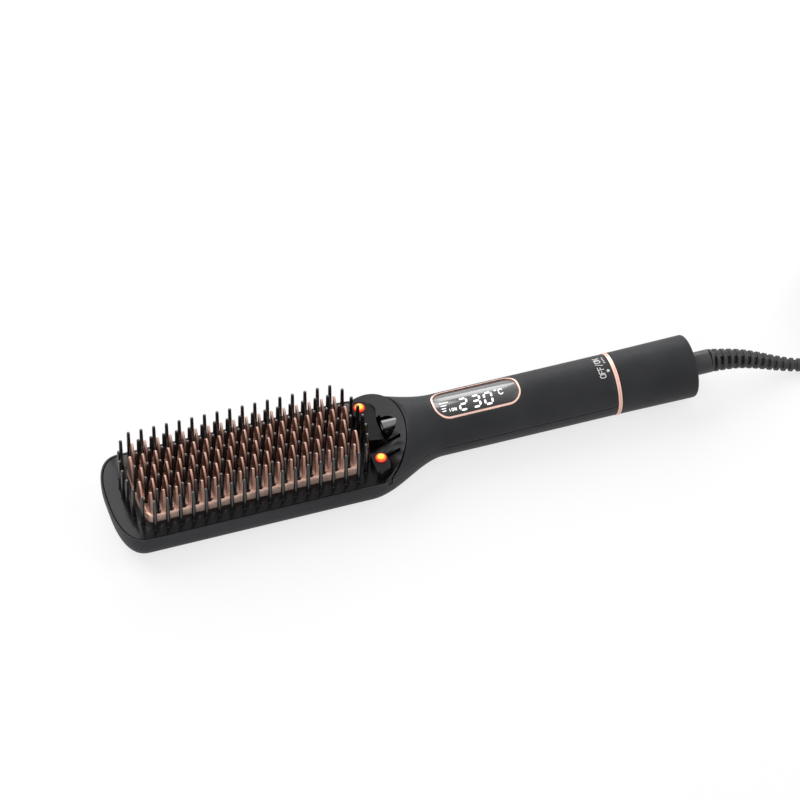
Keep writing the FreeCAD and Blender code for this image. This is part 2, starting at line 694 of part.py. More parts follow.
def make_cord():
    radius = cord_diameter / 2
    path = rounded_path(relief_route, "strain relief")
    levels = [(0.0, collar_radius - 0.1), (1.2, collar_radius - 0.1)]
    for i in range(relief_ribs):
        share = i / (relief_ribs - 1)
        at = 2.6 + share * (path.Length - 6.2)
        size = relief_tip + (relief_root - relief_tip) * (1 - share) ** 1.4
        levels += [(at, relief_core), (at, size), (at + relief_rib, size), (at + relief_rib, relief_core)]
    levels.insert(2, (1.2, relief_core))
    levels.append((path.Length, relief_core))
    relief = ribbed_tube(path, levels).common(box(collar_end, cord_x, -30, 30, -5, 40))
    save("strain_relief", relief)
    lead = tube_along(rounded_path(lead_route, "cord lead"), radius, "cord lead")
    save("cord_lead", lead.common(box(cord_x, cord_x + 60, -40, 40, -5, 40)))
    save("cord_tail", tube_along(rounded_path(tail_route, "cord tail"), radius, "cord tail"))
    across = coil_wide * cord_diameter / 2
    x, y, high = coil_x, coil_y, coil_top
    r0, r1 = coil_turn_diameter / 2 - across, coil_turn_diameter / 2 + across
    soft = radius * 0.8
    corners = [(r0 + soft, 0), (r1 - soft, 0), (r1, soft), (r1, high - soft), (r1 - soft, high), (r0 + soft, high),
               (r0, high - soft), (r0, soft)]
    flat = [Vector(x + r, y, z) for r, z in corners]
    face = Part.Face(Part.makePolygon(flat + flat[:1]))
    save("cord_coil", face.revolve(Vector(x, y, 0), Vector(0, 0, 1), 360))


def ribbed_tube(path, levels):
    """ten-sided tube along a path through (distance, radius) levels"""
    rings = []
    for distance, radius in levels:
        point, heading = place_on(path, distance)
        side = heading.cross(Vector(0, 0, 1)).normalize()
        rise = side.cross(heading).normalize()
        rings.append([point + side * (radius * math.cos(math.pi * i / 5)) + rise * (radius * math.sin(math.pi * i / 5))
                      for i in range(10)])
    faces = [Part.Face(Part.makePolygon(ring + ring[:1])) for ring in (rings[0], rings[-1])]
    for near, far in zip(rings, rings[1:]):
        for i in range(10):
            j = (i + 1) % 10
            for corners in ((near[i], near[j], far[j]), (near[i], far[j], far[i])):
                faces.append(Part.Face(Part.makePolygon(list(corners) + [corners[0]])))
    solid = Part.Solid(Part.Shell(faces))
    if solid.Volume < 0:
        solid.reverse()
    return solid


def make_plug():
    """two-pin plug lying on the coil, its pins towards +X"""
    end = Vector(*tail_route[-1])
    x, y, z = end.x - 1, end.y, coil_top + seam + plug_thick / 2
    nose = x + 14.0 + plug_length
    shoulder = nose - plug_length + 6
    half_w, half_t = plug_width / 2, plug_thick / 2
    body = box(shoulder, nose, y - half_w, y + half_w, z - half_t, z + half_t)
    along = [e for e in body.Edges if abs(e.tangentAt(e.FirstParameter).x) > 0.99]
    body = body.makeChamfer(plug_thick * 0.25, along)
    grip_wide = upright_rectangle(shoulder, y, z, plug_width - 4, plug_thick - 3)
    grip_slim = upright_rectangle(shoulder - 8, y, z, 12.0, 10.0)
    grip_end = upright_rectangle(x, y, z, cord_diameter + 1.6, cord_diameter + 1.6)
    grip = Part.makeLoft([grip_wide, grip_slim, grip_end], True, True)
    save("plug_body", fuse([body, grip]))
    pins = [rod(nose, nose + pin_length, pin_radius, y + side * pin_spacing / 2, z) for side in (-1, 1)]
    save("plug_pins", Part.makeCompound(pins))


def upright_rectangle(x, y, z, width, height):
    corners = [Vector(x, y + sy * width / 2, z + sz * height / 2) for sy, sz in ((-1, -1), (1, -1), (1, 1), (-1, 1))]
    return Part.makePolygon(corners + corners[:1])


def make_screws():
    screws = []
    for x, y in screw_places:
        shank = stud(x, y, screw_depth - 1.0, axis_height + 1.5, screw_radius - 0.12)
        head = stud(x, y, screw_depth - 1.6, screw_depth, screw_head_radius)
        screws.append(fuse([shank, head]))
    save("case_screws", Part.makeCompound(screws))


def build():
    make_shells()
    make_bezel()
    make_heating_plate()
    make_bristles()
    make_heater()
    make_display()
    make_electronics()
    make_dial()
    make_swivel()
    make_cord()
    make_plug()
    make_screws()
    os.makedirs("parts", exist_ok=True)
    for name, shape in nodes.items():
        shape.exportStep("parts/" + name + ".step")
        b = shape.BoundBox
        print(name, shape.isValid(), len(shape.Solids), "X %.1f %.1f" % (b.XMin, b.XMax),
              "Y %.1f %.1f" % (b.YMin, b.YMax), "Z %.1f %.1f" % (b.ZMin, b.ZMax))


build()
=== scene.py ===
import math
import bpy
import bmesh
from mathutils import Matrix, Vector


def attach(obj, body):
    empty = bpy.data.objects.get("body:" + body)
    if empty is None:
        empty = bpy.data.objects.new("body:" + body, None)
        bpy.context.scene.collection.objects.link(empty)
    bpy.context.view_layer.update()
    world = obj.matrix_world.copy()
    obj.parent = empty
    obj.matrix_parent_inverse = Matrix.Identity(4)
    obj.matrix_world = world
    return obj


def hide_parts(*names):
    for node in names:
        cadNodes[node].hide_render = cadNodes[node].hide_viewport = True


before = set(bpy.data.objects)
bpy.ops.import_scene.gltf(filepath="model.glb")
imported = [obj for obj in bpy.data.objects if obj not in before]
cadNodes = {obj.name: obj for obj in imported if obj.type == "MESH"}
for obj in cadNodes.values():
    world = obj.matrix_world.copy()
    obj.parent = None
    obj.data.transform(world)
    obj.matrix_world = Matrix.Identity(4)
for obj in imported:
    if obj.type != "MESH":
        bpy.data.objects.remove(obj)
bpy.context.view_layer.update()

# All sizes below are in millimetres, in the frame of the solids.
brush = {
    "axisHeight": 15.6,
    "headTip": -177.5,
    "headHalf": 28.0,
    "headLength": 145.0,
    "handleRadius": 15.0,
    "wall": 2.0,
    "seam": 0.25,
    "bezelGap": 0.5,
    "parting": 0.45,
    "tipRound": 14.0,
    "tipPower": 2.5,
    "squareness": 4.0,
    "backCut": 0.3,
    "neckStart": -55.0,
    "neckLength": 40.0,
    "shellEnd": 71.85,
}
axisZ = brush["axisHeight"]


lens = {
    "place": (-440.909, -1165.971, 1392.421),
    "turn": 19.2554,
    "rise": 47.6087,
    "roll": 1.2656,
    "focal": 3896.79,
    "sensor": 36.0,
    "pixels": 800,
}


def placed(name, data):
    thing = bpy.data.objects.new(name, data)
    bpy.context.scene.collection.objects.link(thing)
    return thing


def placeCamera():
    turn, rise, roll = (math.radians(lens[k]) for k in ("turn", "rise", "roll"))
    back = Vector((-math.sin(turn) * math.cos(rise), -math.cos(turn) * math.cos(rise), math.sin(rise)))
    right = Vector((math.cos(turn), -math.sin(turn), 0.0))
    up = back.cross(right)
    tiltedRight = right * math.cos(roll) + up * math.sin(roll)
    tiltedUp = up * math.cos(roll) - right * math.sin(roll)
    data = bpy.data.cameras.new("viewCamera")
    data.sensor_width = lens["sensor"]
    data.lens = lens["focal"] / lens["pixels"] * lens["sensor"]
    data.clip_end = 20.0
    camera = placed("viewCamera", data)
    spin = Matrix((tiltedRight, tiltedUp, back)).transposed().to_4x4()
    camera.matrix_world = Matrix.Translation(Vector(lens["place"]) / 1000) @ spin
    bpy.context.scene.camera = camera


placeCamera()
print("camera placed")


class Wire:
    # a socket that adds Math nodes when it is used in an expression
    def __init__(self, finish, socket):
        self.finish = finish
        self.socket = socket

    def math(self, operation, first, second=0.0):
        return self.finish.node("Math", {"operation": operation}, {0: first, 1: second})

    def __add__(self, other):
        return self.math("ADD", self, other)

    def __radd__(self, other):
        return self.math("ADD", other, self)

    def __sub__(self, other):
        return self.math("SUBTRACT", self, other)

    def __rsub__(self, other):
        return self.math("SUBTRACT", other, self)

    def __mul__(self, other):
        return self.math("MULTIPLY", self, other)

    def __rmul__(self, other):
        return self.math("MULTIPLY", other, self)

    def __pow__(self, other):
        return self.math("POWER", self, other)

    def __rpow__(self, other):
        return self.math("POWER", other, self)

    def __abs__(self):
        return self.math("ABSOLUTE", self)


class Finish:
    def __init__(self, name, **plain):
        self.material = bpy.data.materials.new(name)
        self.material.use_nodes = True
        self.tree = self.material.node_tree
        self.tree.nodes.clear()
        self.shader = self.tree.nodes.new("ShaderNodeBsdfPrincipled")
        out = self.tree.nodes.new("ShaderNodeOutputMaterial")
        self.tree.links.new(self.shader.outputs[0], out.inputs[0])
        for socket, value in plain.items():
            self.feed(self.shader.inputs[socket.replace("_", " ")], value)
        self.place = self.node("TexCoord", output="Object")

    def feed(self, socket, value):
        if isinstance(value, Wire):
            self.tree.links.new(value.socket, socket)
        else:
            socket.default_value = value

    def node(self, kind, settings=None, inputs=None, output=0):
        made = self.tree.nodes.new("ShaderNode" + kind)
        for key, value in (settings or {}).items():
            if key == "stops":
                ramp = made.color_ramp
                while len(ramp.elements) < len(value):
                    ramp.elements.new(0.5)
                for element, (spot, colour) in zip(ramp.elements, value):
                    element.position = spot
                    element.color = (*colour, 1.0)
            else:
                setattr(made, key, value)
        for key, value in (inputs or {}).items():
            self.feed(made.inputs[key], value)
        return Wire(self, made.outputs[output])

    def set(self, socket, value):
        self.feed(self.shader.inputs[socket], value)

    def noise(self, scale, detail=3.0, stretch=None):
        where = self.place
        if stretch:
            where = self.node("VectorMath", {"operation": "MULTIPLY"}, {0: where, 1: stretch})
        return self.node("TexNoise", {}, {"Vector": where, "Scale": scale, "Detail": detail})

    def ramp(self, value, low, high, first=0.0, last=1.0):
        keys = {"From Min": low, "From Max": high, "To Min": first, "To Max": last}
        return self.node("MapRange", {"clamp": True}, {"Value": value, **keys})

    def mix(self, share, first, second):
        first, second = ((*c, 1.0) if isinstance(c, tuple) and len(c) == 3 else c for c in (first, second))
        return self.node("Mix", {"data_type": "RGBA"}, {0: share, 6: first, 7: second}, output=2)

    def bump(self, height, strength, distance):
        normal = self.node("Bump", {}, {"Height": height, "Strength": strength, "Distance": distance})
        self.set("Normal", normal)

    def edges(self, low, high):
        # 1 on sharp edges, 0 on flats: edge wear on most finishes, a painted highlight on the plate rims
        pointy = self.node("NewGeometry", output="Pointiness")
        return self.ramp(pointy, low, high)

    def axis(self, letter):
        # a coordinate in millimetres
        return self.node("SeparateXYZ", {}, {0: self.place}, output=letter) * 1000

    def facing(self, letter):
        normal = self.node("TexCoord", output="Normal")
        return self.node("SeparateXYZ", {}, {0: normal}, output=letter)


def toned(shade, gain, lift=0.0):
    return tuple(c * gain + lift for c in shade)


def softTouchFinish(name, shade):
    finish = Finish(name, Specular_IOR_Level=0.16)
    broad = finish.noise(38.0, 4.0)
    fine = finish.noise(2600.0, 2.0)
    speck = finish.noise(900.0, 3.0)
    dark = toned(shade, 0.86)
    light = toned(shade, 1.16, 0.001)
    colour = finish.mix(finish.ramp(broad, 0.35, 0.65), dark, light)
    worn = finish.edges(0.52, 0.62) * 0.35
    finish.set("Base Color", finish.mix(worn, colour, toned(shade, 1.9, 0.004)))
    finish.set("Roughness", finish.ramp(speck, 0.3, 0.7, 0.47, 0.58))
    finish.bump(fine + speck * 0.4, 0.16, 0.00012)
    return finish.material


def pianoFinish(name, shade):
    finish = Finish(name, Specular_IOR_Level=0.14, Coat_Roughness=0.1)
    broad = finish.noise(25.0, 3.0)
    hairs = finish.noise(220.0, 4.0, stretch=(1.0, 14.0, 1.0))
    dark = toned(shade, 0.8)
    finish.set("Base Color", finish.mix(finish.ramp(broad, 0.3, 0.7), dark, shade))
    finish.set("Roughness", finish.ramp(hairs, 0.45, 0.7, 0.17, 0.27))
    finish.set("Coat Weight", 0.06)
    finish.bump(broad, 0.04, 0.0004)
    return finish.material


def nylonFinish(name, shade):
    finish = Finish(name, Specular_IOR_Level=0.7)
    mottle = finish.noise(420.0, 3.0)
    flow = finish.noise(300.0, 2.0, stretch=(3.0, 3.0, 0.4))
    dark = toned(shade, 0.75)
    colour = finish.mix(mottle, dark, toned(shade, 1.3))
    # the upward-facing round tips are painted paler, a painted highlight
    tip = finish.ramp(finish.facing("Z") + (mottle - 0.5) * 0.1, 0.7, 0.97)
    finish.set("Base Color", finish.mix(tip, colour, (0.2, 0.2, 0.205)))
    finish.set("Roughness", finish.ramp(flow, 0.3, 0.7, 0.14, 0.24))
    finish.bump(mottle, 0.08, 0.0001)
    return finish.material


def metalFinish(name, shade, rough, grain=(1.0, 20.0, 1.0)):
    finish = Finish(name, Metallic=1.0)
    streaks = finish.noise(160.0, 4.0, stretch=grain)
    broad = finish.noise(45.0, 3.0)
    dark = toned(shade, 0.82)
    colour = finish.mix(finish.ramp(broad, 0.35, 0.65), dark, shade)
    worn = finish.edges(0.52, 0.6) * 0.25
    pale = tuple(min(1.0, c * 1.15 + 0.06) for c in shade)
    finish.set("Base Color", finish.mix(worn, colour, pale))
    finish.set("Roughness", finish.ramp(streaks, 0.3, 0.7, rough * 0.8, rough * 1.25))
    finish.bump(streaks, 0.05, 0.00008)
    return finish.material


# plate colours: a darker tone for the fins, painted shade on the fin flats in two grain tones, and a painted
# highlight for the rims
plateShades = {
    "fin": (0.68, 0.385, 0.295),
    "brushedShadeLow": (0.19, 0.068, 0.045),
    "brushedShadeHigh": (0.26, 0.1, 0.068),
    "worn": (0.98, 0.75, 0.64),
}


def plateFinish(name, shade):
    finish = Finish(name)
    height = finish.axis("Z")
    broad = finish.noise(60.0, 4.0)
    grain = finish.noise(1500.0, 3.0)
    across = abs(finish.facing("X"))
    # the flats of the fins get painted shade, darker than their rims and the base, with a brushed grain
    flat = finish.ramp(across + (broad - 0.5) * 0.1, 0.78, 0.97) * finish.ramp(height, 19.2, 20.4)
    # the base is painted paler than the fins above it, a painted reflection; the fins take a darker tone
    toneWithPaintedReflection = finish.mix(finish.ramp(broad, 0.35, 0.65), toned(shade, 0.94), shade)
    toneWithPaintedReflection = finish.mix(finish.ramp(height, 19.6, 22.0), toneWithPaintedReflection, plateShades["fin"])
    brushedGrainAndShade = finish.ramp(grain, 0.35, 0.65)
    brushedGrainAndShade = finish.mix(brushedGrainAndShade, plateShades["brushedShadeLow"], plateShades["brushedShadeHigh"])
    colour = finish.mix(flat, toneWithPaintedReflection, brushedGrainAndShade)
    # the sharp rims of the plate and fins get a painted highlight
    worn = finish.edges(0.53, 0.62) * 0.6
    finish.set("Base Color", finish.mix(worn, colour, plateShades["worn"]))
    finish.set("Metallic", flat * 0.32 + 0.4)
    finish.set("Roughness", finish.ramp(grain, 0.3, 0.7, 0.26, 0.38))
    finish.bump(grain, 0.12, 0.00008)
    return finish.material


def lampFinish(name, spot):
    finish = Finish(name, Specular_IOR_Level=0.5, Roughness=0.16)
    cloud = finish.noise(600.0, 2.0)
    x = finish.axis("X")
    y = abs(finish.axis("Y"))
    out = ((x - spot[0]) ** 2 + (y - spot[1]) ** 2) ** 0.5 + (cloud - 0.5) * 0.5
    core = finish.ramp(out, 1.9, 1.2)
    amber = finish.mix(finish.ramp(out, 2.6, 1.8), (0.42, 0.01, 0.004), (1.0, 0.17, 0.01))
    finish.set("Base Color", finish.mix(core, (0.7, 0.05, 0.01), (0.95, 0.5, 0.05)))
    finish.set("Emission Color", finish.mix(core, amber, (1.0, 0.55, 0.015)))
    finish.set("Emission Strength", 1.15)
    return finish.material


def glowFinish(name, shade, strength):
    finish = Finish(name, Roughness=0.3)
    cells = finish.noise(700.0, 2.0)
    finish.set("Base Color", (*shade, 1.0))
    dim = toned(shade, 0.82)
    finish.set("Emission Color", finish.mix(finish.ramp(cells, 0.35, 0.6), dim, shade))
    finish.set("Emission Strength", strength)
    return finish.material


def windowFinish(name):
    finish = Finish(name, Specular_IOR_Level=0.6, Coat_Roughness=0.12)
    broad = finish.noise(30.0, 2.0)
    hairs = finish.noise(260.0, 4.0, stretch=(14.0, 1.0, 1.0))
    smoke = finish.mix(broad, (0.006, 0.006, 0.008), (0.016, 0.016, 0.019))
    # the pane is painted greyer away from its near long side, a painted reflection, and it is glossier there
    across = finish.axis("Y")
    paintedReflectionBand = finish.ramp(across, -7.0, 2.0, 0.0, 0.9)
    finish.set("Base Color", finish.mix(paintedReflectionBand, smoke, (0.1, 0.1, 0.104)))
    finish.set("Roughness", finish.ramp(hairs, 0.45, 0.7, 0.14, 0.2))
    finish.set("Coat Weight", finish.ramp(across, -7.0, 0.0, 0.0, 0.9))
    finish.bump(broad, 0.03, 0.0003)
    return finish.material


def rubberFinish(name, shade, rough=0.5):
    finish = Finish(name, Specular_IOR_Level=0.4)
    mottle = finish.noise(180.0, 4.0)
    fine = finish.noise(2200.0, 2.0)
    dark = toned(shade, 0.7)
    light = toned(shade, 1.3)
    finish.set("Base Color", finish.mix(finish.ramp(mottle, 0.3, 0.7), dark, light))
    finish.set("Roughness", finish.ramp(mottle, 0.3, 0.7, rough - 0.06, rough + 0.08))
    finish.bump(fine, 0.15, 0.0001)
    return finish.material


def boardFinish(name):
    finish = Finish(name, Specular_IOR_Level=0.5)
    inputs = {"Vector": finish.place, "Scale": 420.0}
    tracks = finish.node("TexVoronoi", {"feature": "DISTANCE_TO_EDGE"}, inputs)
    line = finish.ramp(tracks, 0.03, 0.07, 1.0, 0.0)
    finish.set("Base Color", finish.mix(line, (0.01, 0.09, 0.035), (0.03, 0.2, 0.07)))
    finish.set("Roughness", 0.35 + line * 0.15)
    finish.bump(line, 0.2, 0.00005)
    return finish.material


lampSpot = (-48.2, 16.6)
finishes = {
    "case": softTouchFinish("softTouchBlack", (0.027, 0.0275, 0.0295)),
    "piano": pianoFinish("pianoBlack", (0.008, 0.008, 0.0095)),
    "inner": softTouchFinish("innerMoulding", (0.07, 0.07, 0.075)),
    "nylon": nylonFinish("bristleNylon", (0.008, 0.008, 0.009)),
    "plate": plateFinish("plateCopper", (0.95, 0.6, 0.475)),
    "trim": metalFinish("trimRose", (0.84, 0.57, 0.485), 0.48, grain=(6.0, 1.0, 1.0)),
    "window": windowFinish("smokedWindow"),
    "lamp": lampFinish("amberLamp", lampSpot),
    "digit": glowFinish("displayWhite", (1.0, 1.0, 1.0), 0.95),
    "mark": softTouchFinish("printedMark", (0.62, 0.6, 0.58)),
    "steel": metalFinish("brightSteel", (0.62, 0.62, 0.64), 0.3),
    "chrome": metalFinish("pinChrome", (0.8, 0.8, 0.81), 0.14),
    "nozzle": metalFinish("nozzleGrey", (0.17, 0.17, 0.175), 0.34),
    "brass": metalFinish("contactBrass", (0.72, 0.52, 0.22), 0.3),
    "board": boardFinish("greenLaminate"),
    "ceramic": rubberFinish("whiteCeramic", (0.72, 0.72, 0.7), 0.6),
    "rubber": rubberFinish("cordRubber", (0.014, 0.014, 0.015), 0.46),
    "relief": rubberFinish("reliefRubber", (0.032, 0.032, 0.034), 0.42),
}
print("finishes made:", len(finishes))


def pieceFrom(name, mesh, body, finish, replaced=(), sharp=35.0):
    piece = placed(name, mesh)
    mesh.materials.clear()
    mesh.materials.append(finishes[finish])
    for face in mesh.polygons:
        face.use_smooth = True
        face.material_index = 0
    mesh.set_sharp_from_angle(angle=math.radians(sharp))
    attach(piece, body)
    if replaced:
        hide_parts(*replaced)


def meshFrom(name, points, faces):
    mesh = bpy.data.meshes.new(name)
    mesh.from_pydata([tuple(c / 1000 for c in p) for p in points], [], faces)
    work = bmesh.new()
    work.from_mesh(mesh)
    bmesh.ops.remove_doubles(work, verts=work.verts, dist=2e-7)
    bmesh.ops.recalc_face_normals(work, faces=work.faces)
    work.to_mesh(mesh)
    work.free()
    return mesh


def skinRows(rows, caps=True):
    # faces over closed rows of points that all have the same count
    count = len(rows[0])
    points = [p for row in rows for p in row]
    faces = []
    for r in range(len(rows) - 1):
        for i in range(count):
            j = (i + 1) % count
            faces.append((r * count + i, r * count + j, (r + 1) * count + j, (r + 1) * count + i))
    if caps:
        faces.append(tuple(range(count)))
        faces.append(tuple(range((len(rows) - 1) * count, len(rows) * count)))
    return points, faces


def joinParts(parts):
    points, faces = [], []
    for more, added in parts:
        start = len(points)
        points += more
        faces += [tuple(start + i for i in face) for face in added]
    return points, faces


def baked(holder):
    # the evaluated mesh of a helper object, which goes afterwards
    mesh = bpy.data.meshes.new_from_object(holder.evaluated_get(bpy.context.evaluated_depsgraph_get()))
    bpy.data.objects.remove(holder)
    return mesh


def carve(mesh, cutter, operation="DIFFERENCE"):
    # boolean of two meshes through a modifier that is applied at once
    holder, tool = placed("holder", mesh), placed("tool", cutter)
    modifier = holder.modifiers.new("cut", "BOOLEAN")
    modifier.object = tool
    modifier.operation = operation
    modifier.solver = "EXACT"
    result = baked(holder)
    bpy.data.objects.remove(tool)
    return result


def softened(mesh, width, segments=2, angle=35.0):
    holder = placed("holder", mesh)
    modifier = holder.modifiers.new("soft", "BEVEL")
    modifier.width = width / 1000
    modifier.segments = segments
    modifier.limit_method = "ANGLE"
    modifier.angle_limit = math.radians(angle)
    return baked(holder)


def boxMesh(name, low, high):
    xs, ys, zs = zip(low, high)
    points = [(x, y, z) for x in xs for y in ys for z in zs]
    faces = [(0, 1, 3, 2), (4, 6, 7, 5), (0, 4, 5, 1), (2, 3, 7, 6), (0, 2, 6, 4), (1, 5, 7, 3)]
    return meshFrom(name, points, faces)


def prismMesh(name, outline, z0, z1):
    rows = [[(x, y, z) for x, y in outline] for z in (z0, z1)]
    return meshFrom(name, *skinRows(rows))


def circle(count):
    turns = [math.tau * i / count for i in range(count)]
    return [(math.cos(turn), math.sin(turn)) for turn in turns]


def turnedRows(profile, count, height=axisZ):
    # rows of points round a lengthwise axis, from (x, radius) pairs
    rows = []
    for x, radius in profile:
        radius = max(radius, 1e-4)
        rows.append([(x, radius * s, height + radius * c) for c, s in circle(count)])
    return rows


def turnedMesh(name, profile, count, height=axisZ):
    return meshFrom(name, *skinRows(turnedRows(profile, count, height)))


def turnedPart(x, y, profile, count):
    # upright turned solid from (height, radius) pairs
    rows = [[(x + r * c, y + r * s, z) for c, s in circle(count)] for z, r in profile]
    return skinRows(rows)


def roundedProfile(points, radius, steps=4):
    # (x, radius) corners of a turned part, each rounded off a little
    out = [points[0]]
    for before, corner, after in zip(points, points[1:], points[2:]):
        a, b, c = (Vector((*p, 0)) for p in (before, corner, after))
        reach = min(radius, (a - b).length * 0.45, (c - b).length * 0.45)
        start = b + (a - b).normalized() * reach
        stop = b + (c - b).normalized() * reach
        for i in range(steps + 1):
            t = i / steps
            p = start * (1 - t) ** 2 + b * 2 * t * (1 - t) + stop * t ** 2
            out.append((p.x, p.y))
    out.append(points[-1])
    return out


def ease(t):
    t = min(max(t, 0.0), 1.0)
    return t * t * (3 - 2 * t)


def spread(start, stop, count):
    return [start + (stop - start) * i / (count - 1) for i in range(count)]


def bodySection(x, inset, steps):
    head = 1 - ease((x - brush["neckStart"]) / brush["neckLength"])
    radius = brush["handleRadius"]
    side = radius + (brush["headHalf"] - radius) * head
    back = radius + (axisZ + brush["backCut"] - radius) * head
    power = 2 + (brush["squareness"] - 2) * head
    reach = (x - brush["headTip"]) / brush["tipRound"]
    if reach < 1:
        tip = brush["tipPower"]
        shrink = max(1e-4, (1 - (1 - reach) ** tip)) ** (1 / tip)
        side *= shrink
        back *= shrink
    side = max(side - inset, 0.02)
    back = max(back - inset, 0.02)
    front = max(radius * min(1.0, side / (radius - inset)) - inset, 0.02)
    row = []
    for i in range(steps):
        turn = math.tau * i / steps
        c, s = abs(math.cos(turn)), abs(math.sin(turn))
        height = front if math.sin(turn) > 0 else back
        n = 2 if math.sin(turn) > 0 else power
        r = ((c / side) ** n + (s / height) ** n) ** (-1 / n)
        row.append((x, r * math.cos(turn), axisZ + r * math.sin(turn)))
    return row


def bodyMesh(name, inset, steps, end):
    tip, nose, power = brush["headTip"], brush["tipRound"], brush["tipPower"]
    start = brush["neckStart"]
    stop = start + brush["neckLength"]
    places = []
    for i in range(26):
        turn = math.radians(3 + 86 * i / 26)
        along, across = math.cos(turn) / nose, math.sin(turn) / brush["headHalf"]
        r = (along ** power + across ** power) ** (-1 / power)
        places.append(tip + nose - r * math.cos(turn))
    places = [x for x in places if x > tip + 1.3 * inset]
    places += spread(tip + nose, start - 4, 30)
    places += spread(start - 2, stop + 2, 40)
    places += spread(stop + 6, end, 24)
    rows = [bodySection(x, inset, steps) for x in places]
    if not inset:
        rows.insert(0, [(tip, 0.02 * c, axisZ + 0.02 * s) for c, s in circle(steps)])
    return meshFrom(name, *skinRows(rows))


frontFace = {
    "inset": 1.3,
    "drop": 0.4,
    "thick": 3.0,
    "rampRise": 13.4,
    "rampLength": 18.0,
    "bevelWide": 5.0,
    "bevelHigh": 0.9,
    "lampX": lampSpot[0],
    "lampY": lampSpot[1],
    "lampRadius": 2.7,
    "lampTop": 5.7,
    "lampDome": 1.3,
    "outletX": -43.0,
    "outletFloor": 4.0,
    "outletRadius": 7.0,
    "mouthRadius": 2.15,
    "nozzleRadius": 2.6,
    "nozzleRise": 8.6,
    "nozzleLong": 7.2,
    "nozzleBore": 1.6,
    "nozzleDeep": 5.2,
    "lampHole": 2.6,
    "lampShank": 2.5,
    "lampFoot": 11.8,
}
faceZ = axisZ - frontFace["drop"]
rampX = brush["headTip"] + brush["headLength"] - frontFace["rampLength"]
rampSlope = (frontFace["rampRise"] + frontFace["drop"]) / frontFace["rampLength"]


def bow(x, reach, side, power, sign, count=40):
    out = []
    for i in range(count + 1):
        turn = math.pi * (i / count - 0.5)
        c, s = abs(math.cos(turn)), abs(math.sin(turn))
        r = ((c / reach) ** power + (s / side) ** power) ** (-1 / power)
        out.append((x + sign * r * math.cos(turn), r * math.sin(turn)))
    return out


def frameOutline(inset):
    side = brush["headHalf"] - frontFace["inset"] - inset
    tip = brush["headTip"] + brush["tipRound"]
    left = bow(tip, brush["tipRound"] - frontFace["inset"] - inset, side, brush["tipPower"], -1)
    right = bow(rampX, frontFace["rampLength"] - inset, side, 2.0, 1)
    return left[::-1] + right


plateSizes = {
    "pitch": 6.178, "columns": 17, "rowGap": 8.0, "firstX": -160.0,
    "half": 18.2, "bulge": 3.9, "power": 2.4, "top": 1.0, "thick": 3.0, "rim": 3.7, "hole": 1.55,
    "finInset": 1.9, "finHigh": 18.0, "finHalf": 6.1, "finThick": 1.1, "finPoint": 0.42,
    "ringRow": 22.32, "ringBulge": 9.1, "arcCount": 7, "arcHalf": 18.4, "arcPower": 1.9,
    "ringTip": 35.6, "fieldTip": 37.0,
}
lastX = plateSizes["firstX"] + (plateSizes["columns"] - 1) * plateSizes["pitch"]
plateZ = axisZ + plateSizes["top"]


def plateOutline(offset):
    side, reach, power = plateSizes["half"] + offset, plateSizes["bulge"] + offset, plateSizes["power"]
    left = bow(plateSizes["firstX"], reach, side, power, -1)
    return left[::-1] + bow(lastX, reach, side, power, 1)


def airMesh(clearance):
    # everything in front of the flat face and the ramp
    foot = faceZ + clearance
    far = frontFace["rampLength"] * 2.5
    start, stop = brush["headTip"] - 5, rampX + far
    profile = [(start, foot), (rampX, foot), (stop, foot + far * rampSlope), (stop, 90), (start, 90)]
    rows = [[(x, y, z) for x, z in profile] for y in (-60.0, 60.0)]
    return meshFrom("air", *skinRows(rows))


windowSizes = {
    "x": 4.3, "length": 43.4, "width": 17.2, "corner": 7.0, "trim": 0.78, "gap": 0.08,
    "paneRadius": 14.55, "trimRadius": 15.1, "inner": 13.2, "reach": 30,
}


def windowOutline(inset, steps=10):
    halfL = windowSizes["length"] / 2 - inset
    halfW = windowSizes["width"] / 2 - inset
    corner = windowSizes["corner"] - inset
    out = []
    for sx, sy, start in ((1, 1, 0), (-1, 1, 90), (-1, -1, 180), (1, -1, 270)):
        for i in range(steps + 1):
            turn = math.radians(start + 90 * i / steps)
            out.append((windowSizes["x"] + sx * (halfL - corner) + corner * math.cos(turn),
                        sy * (halfW - corner) + corner * math.sin(turn)))
    return out


screwSizes = {
    "places": ((-40.0, -12.0), (-40.0, 12.0), (46.0, 0.0)),
    "radius": 2.6, "bore": 2.8, "low": 0.6, "top": 2.2, "shank": 1.18,
    "slot": 0.7, "slotLong": 3.2, "slotDeep": 0.8,
}


def makeScrews():
    # heads let into the back, each with a cross recess
    low, top, radius = screwSizes["low"], screwSizes["top"], screwSizes["radius"]
    shank, end = screwSizes["shank"], axisZ + 1.5
    profile = [(low, 0.01), (low, radius - 0.35), (low + 0.12, radius - 0.1), (low + 0.35, radius),
               (top, radius), (top, shank), (end, shank), (end, 0.01)]
    parts = [turnedPart(x, y, profile, 40) for x, y in screwSizes["places"]]
    mesh = meshFrom("screws", *joinParts(parts))
    slot = (screwSizes["slotLong"] / 2, screwSizes["slot"] / 2)
    for x, y in screwSizes["places"]:
        for u, v in (slot, slot[::-1]):
            deep = low + screwSizes["slotDeep"]
            mesh = carve(mesh, boxMesh("slot", (x - u, y - v, low - 1), (x + u, y + v, deep)))
    pieceFrom("caseScrews", mesh, "housing", "steel", ("case_screws",), 30)


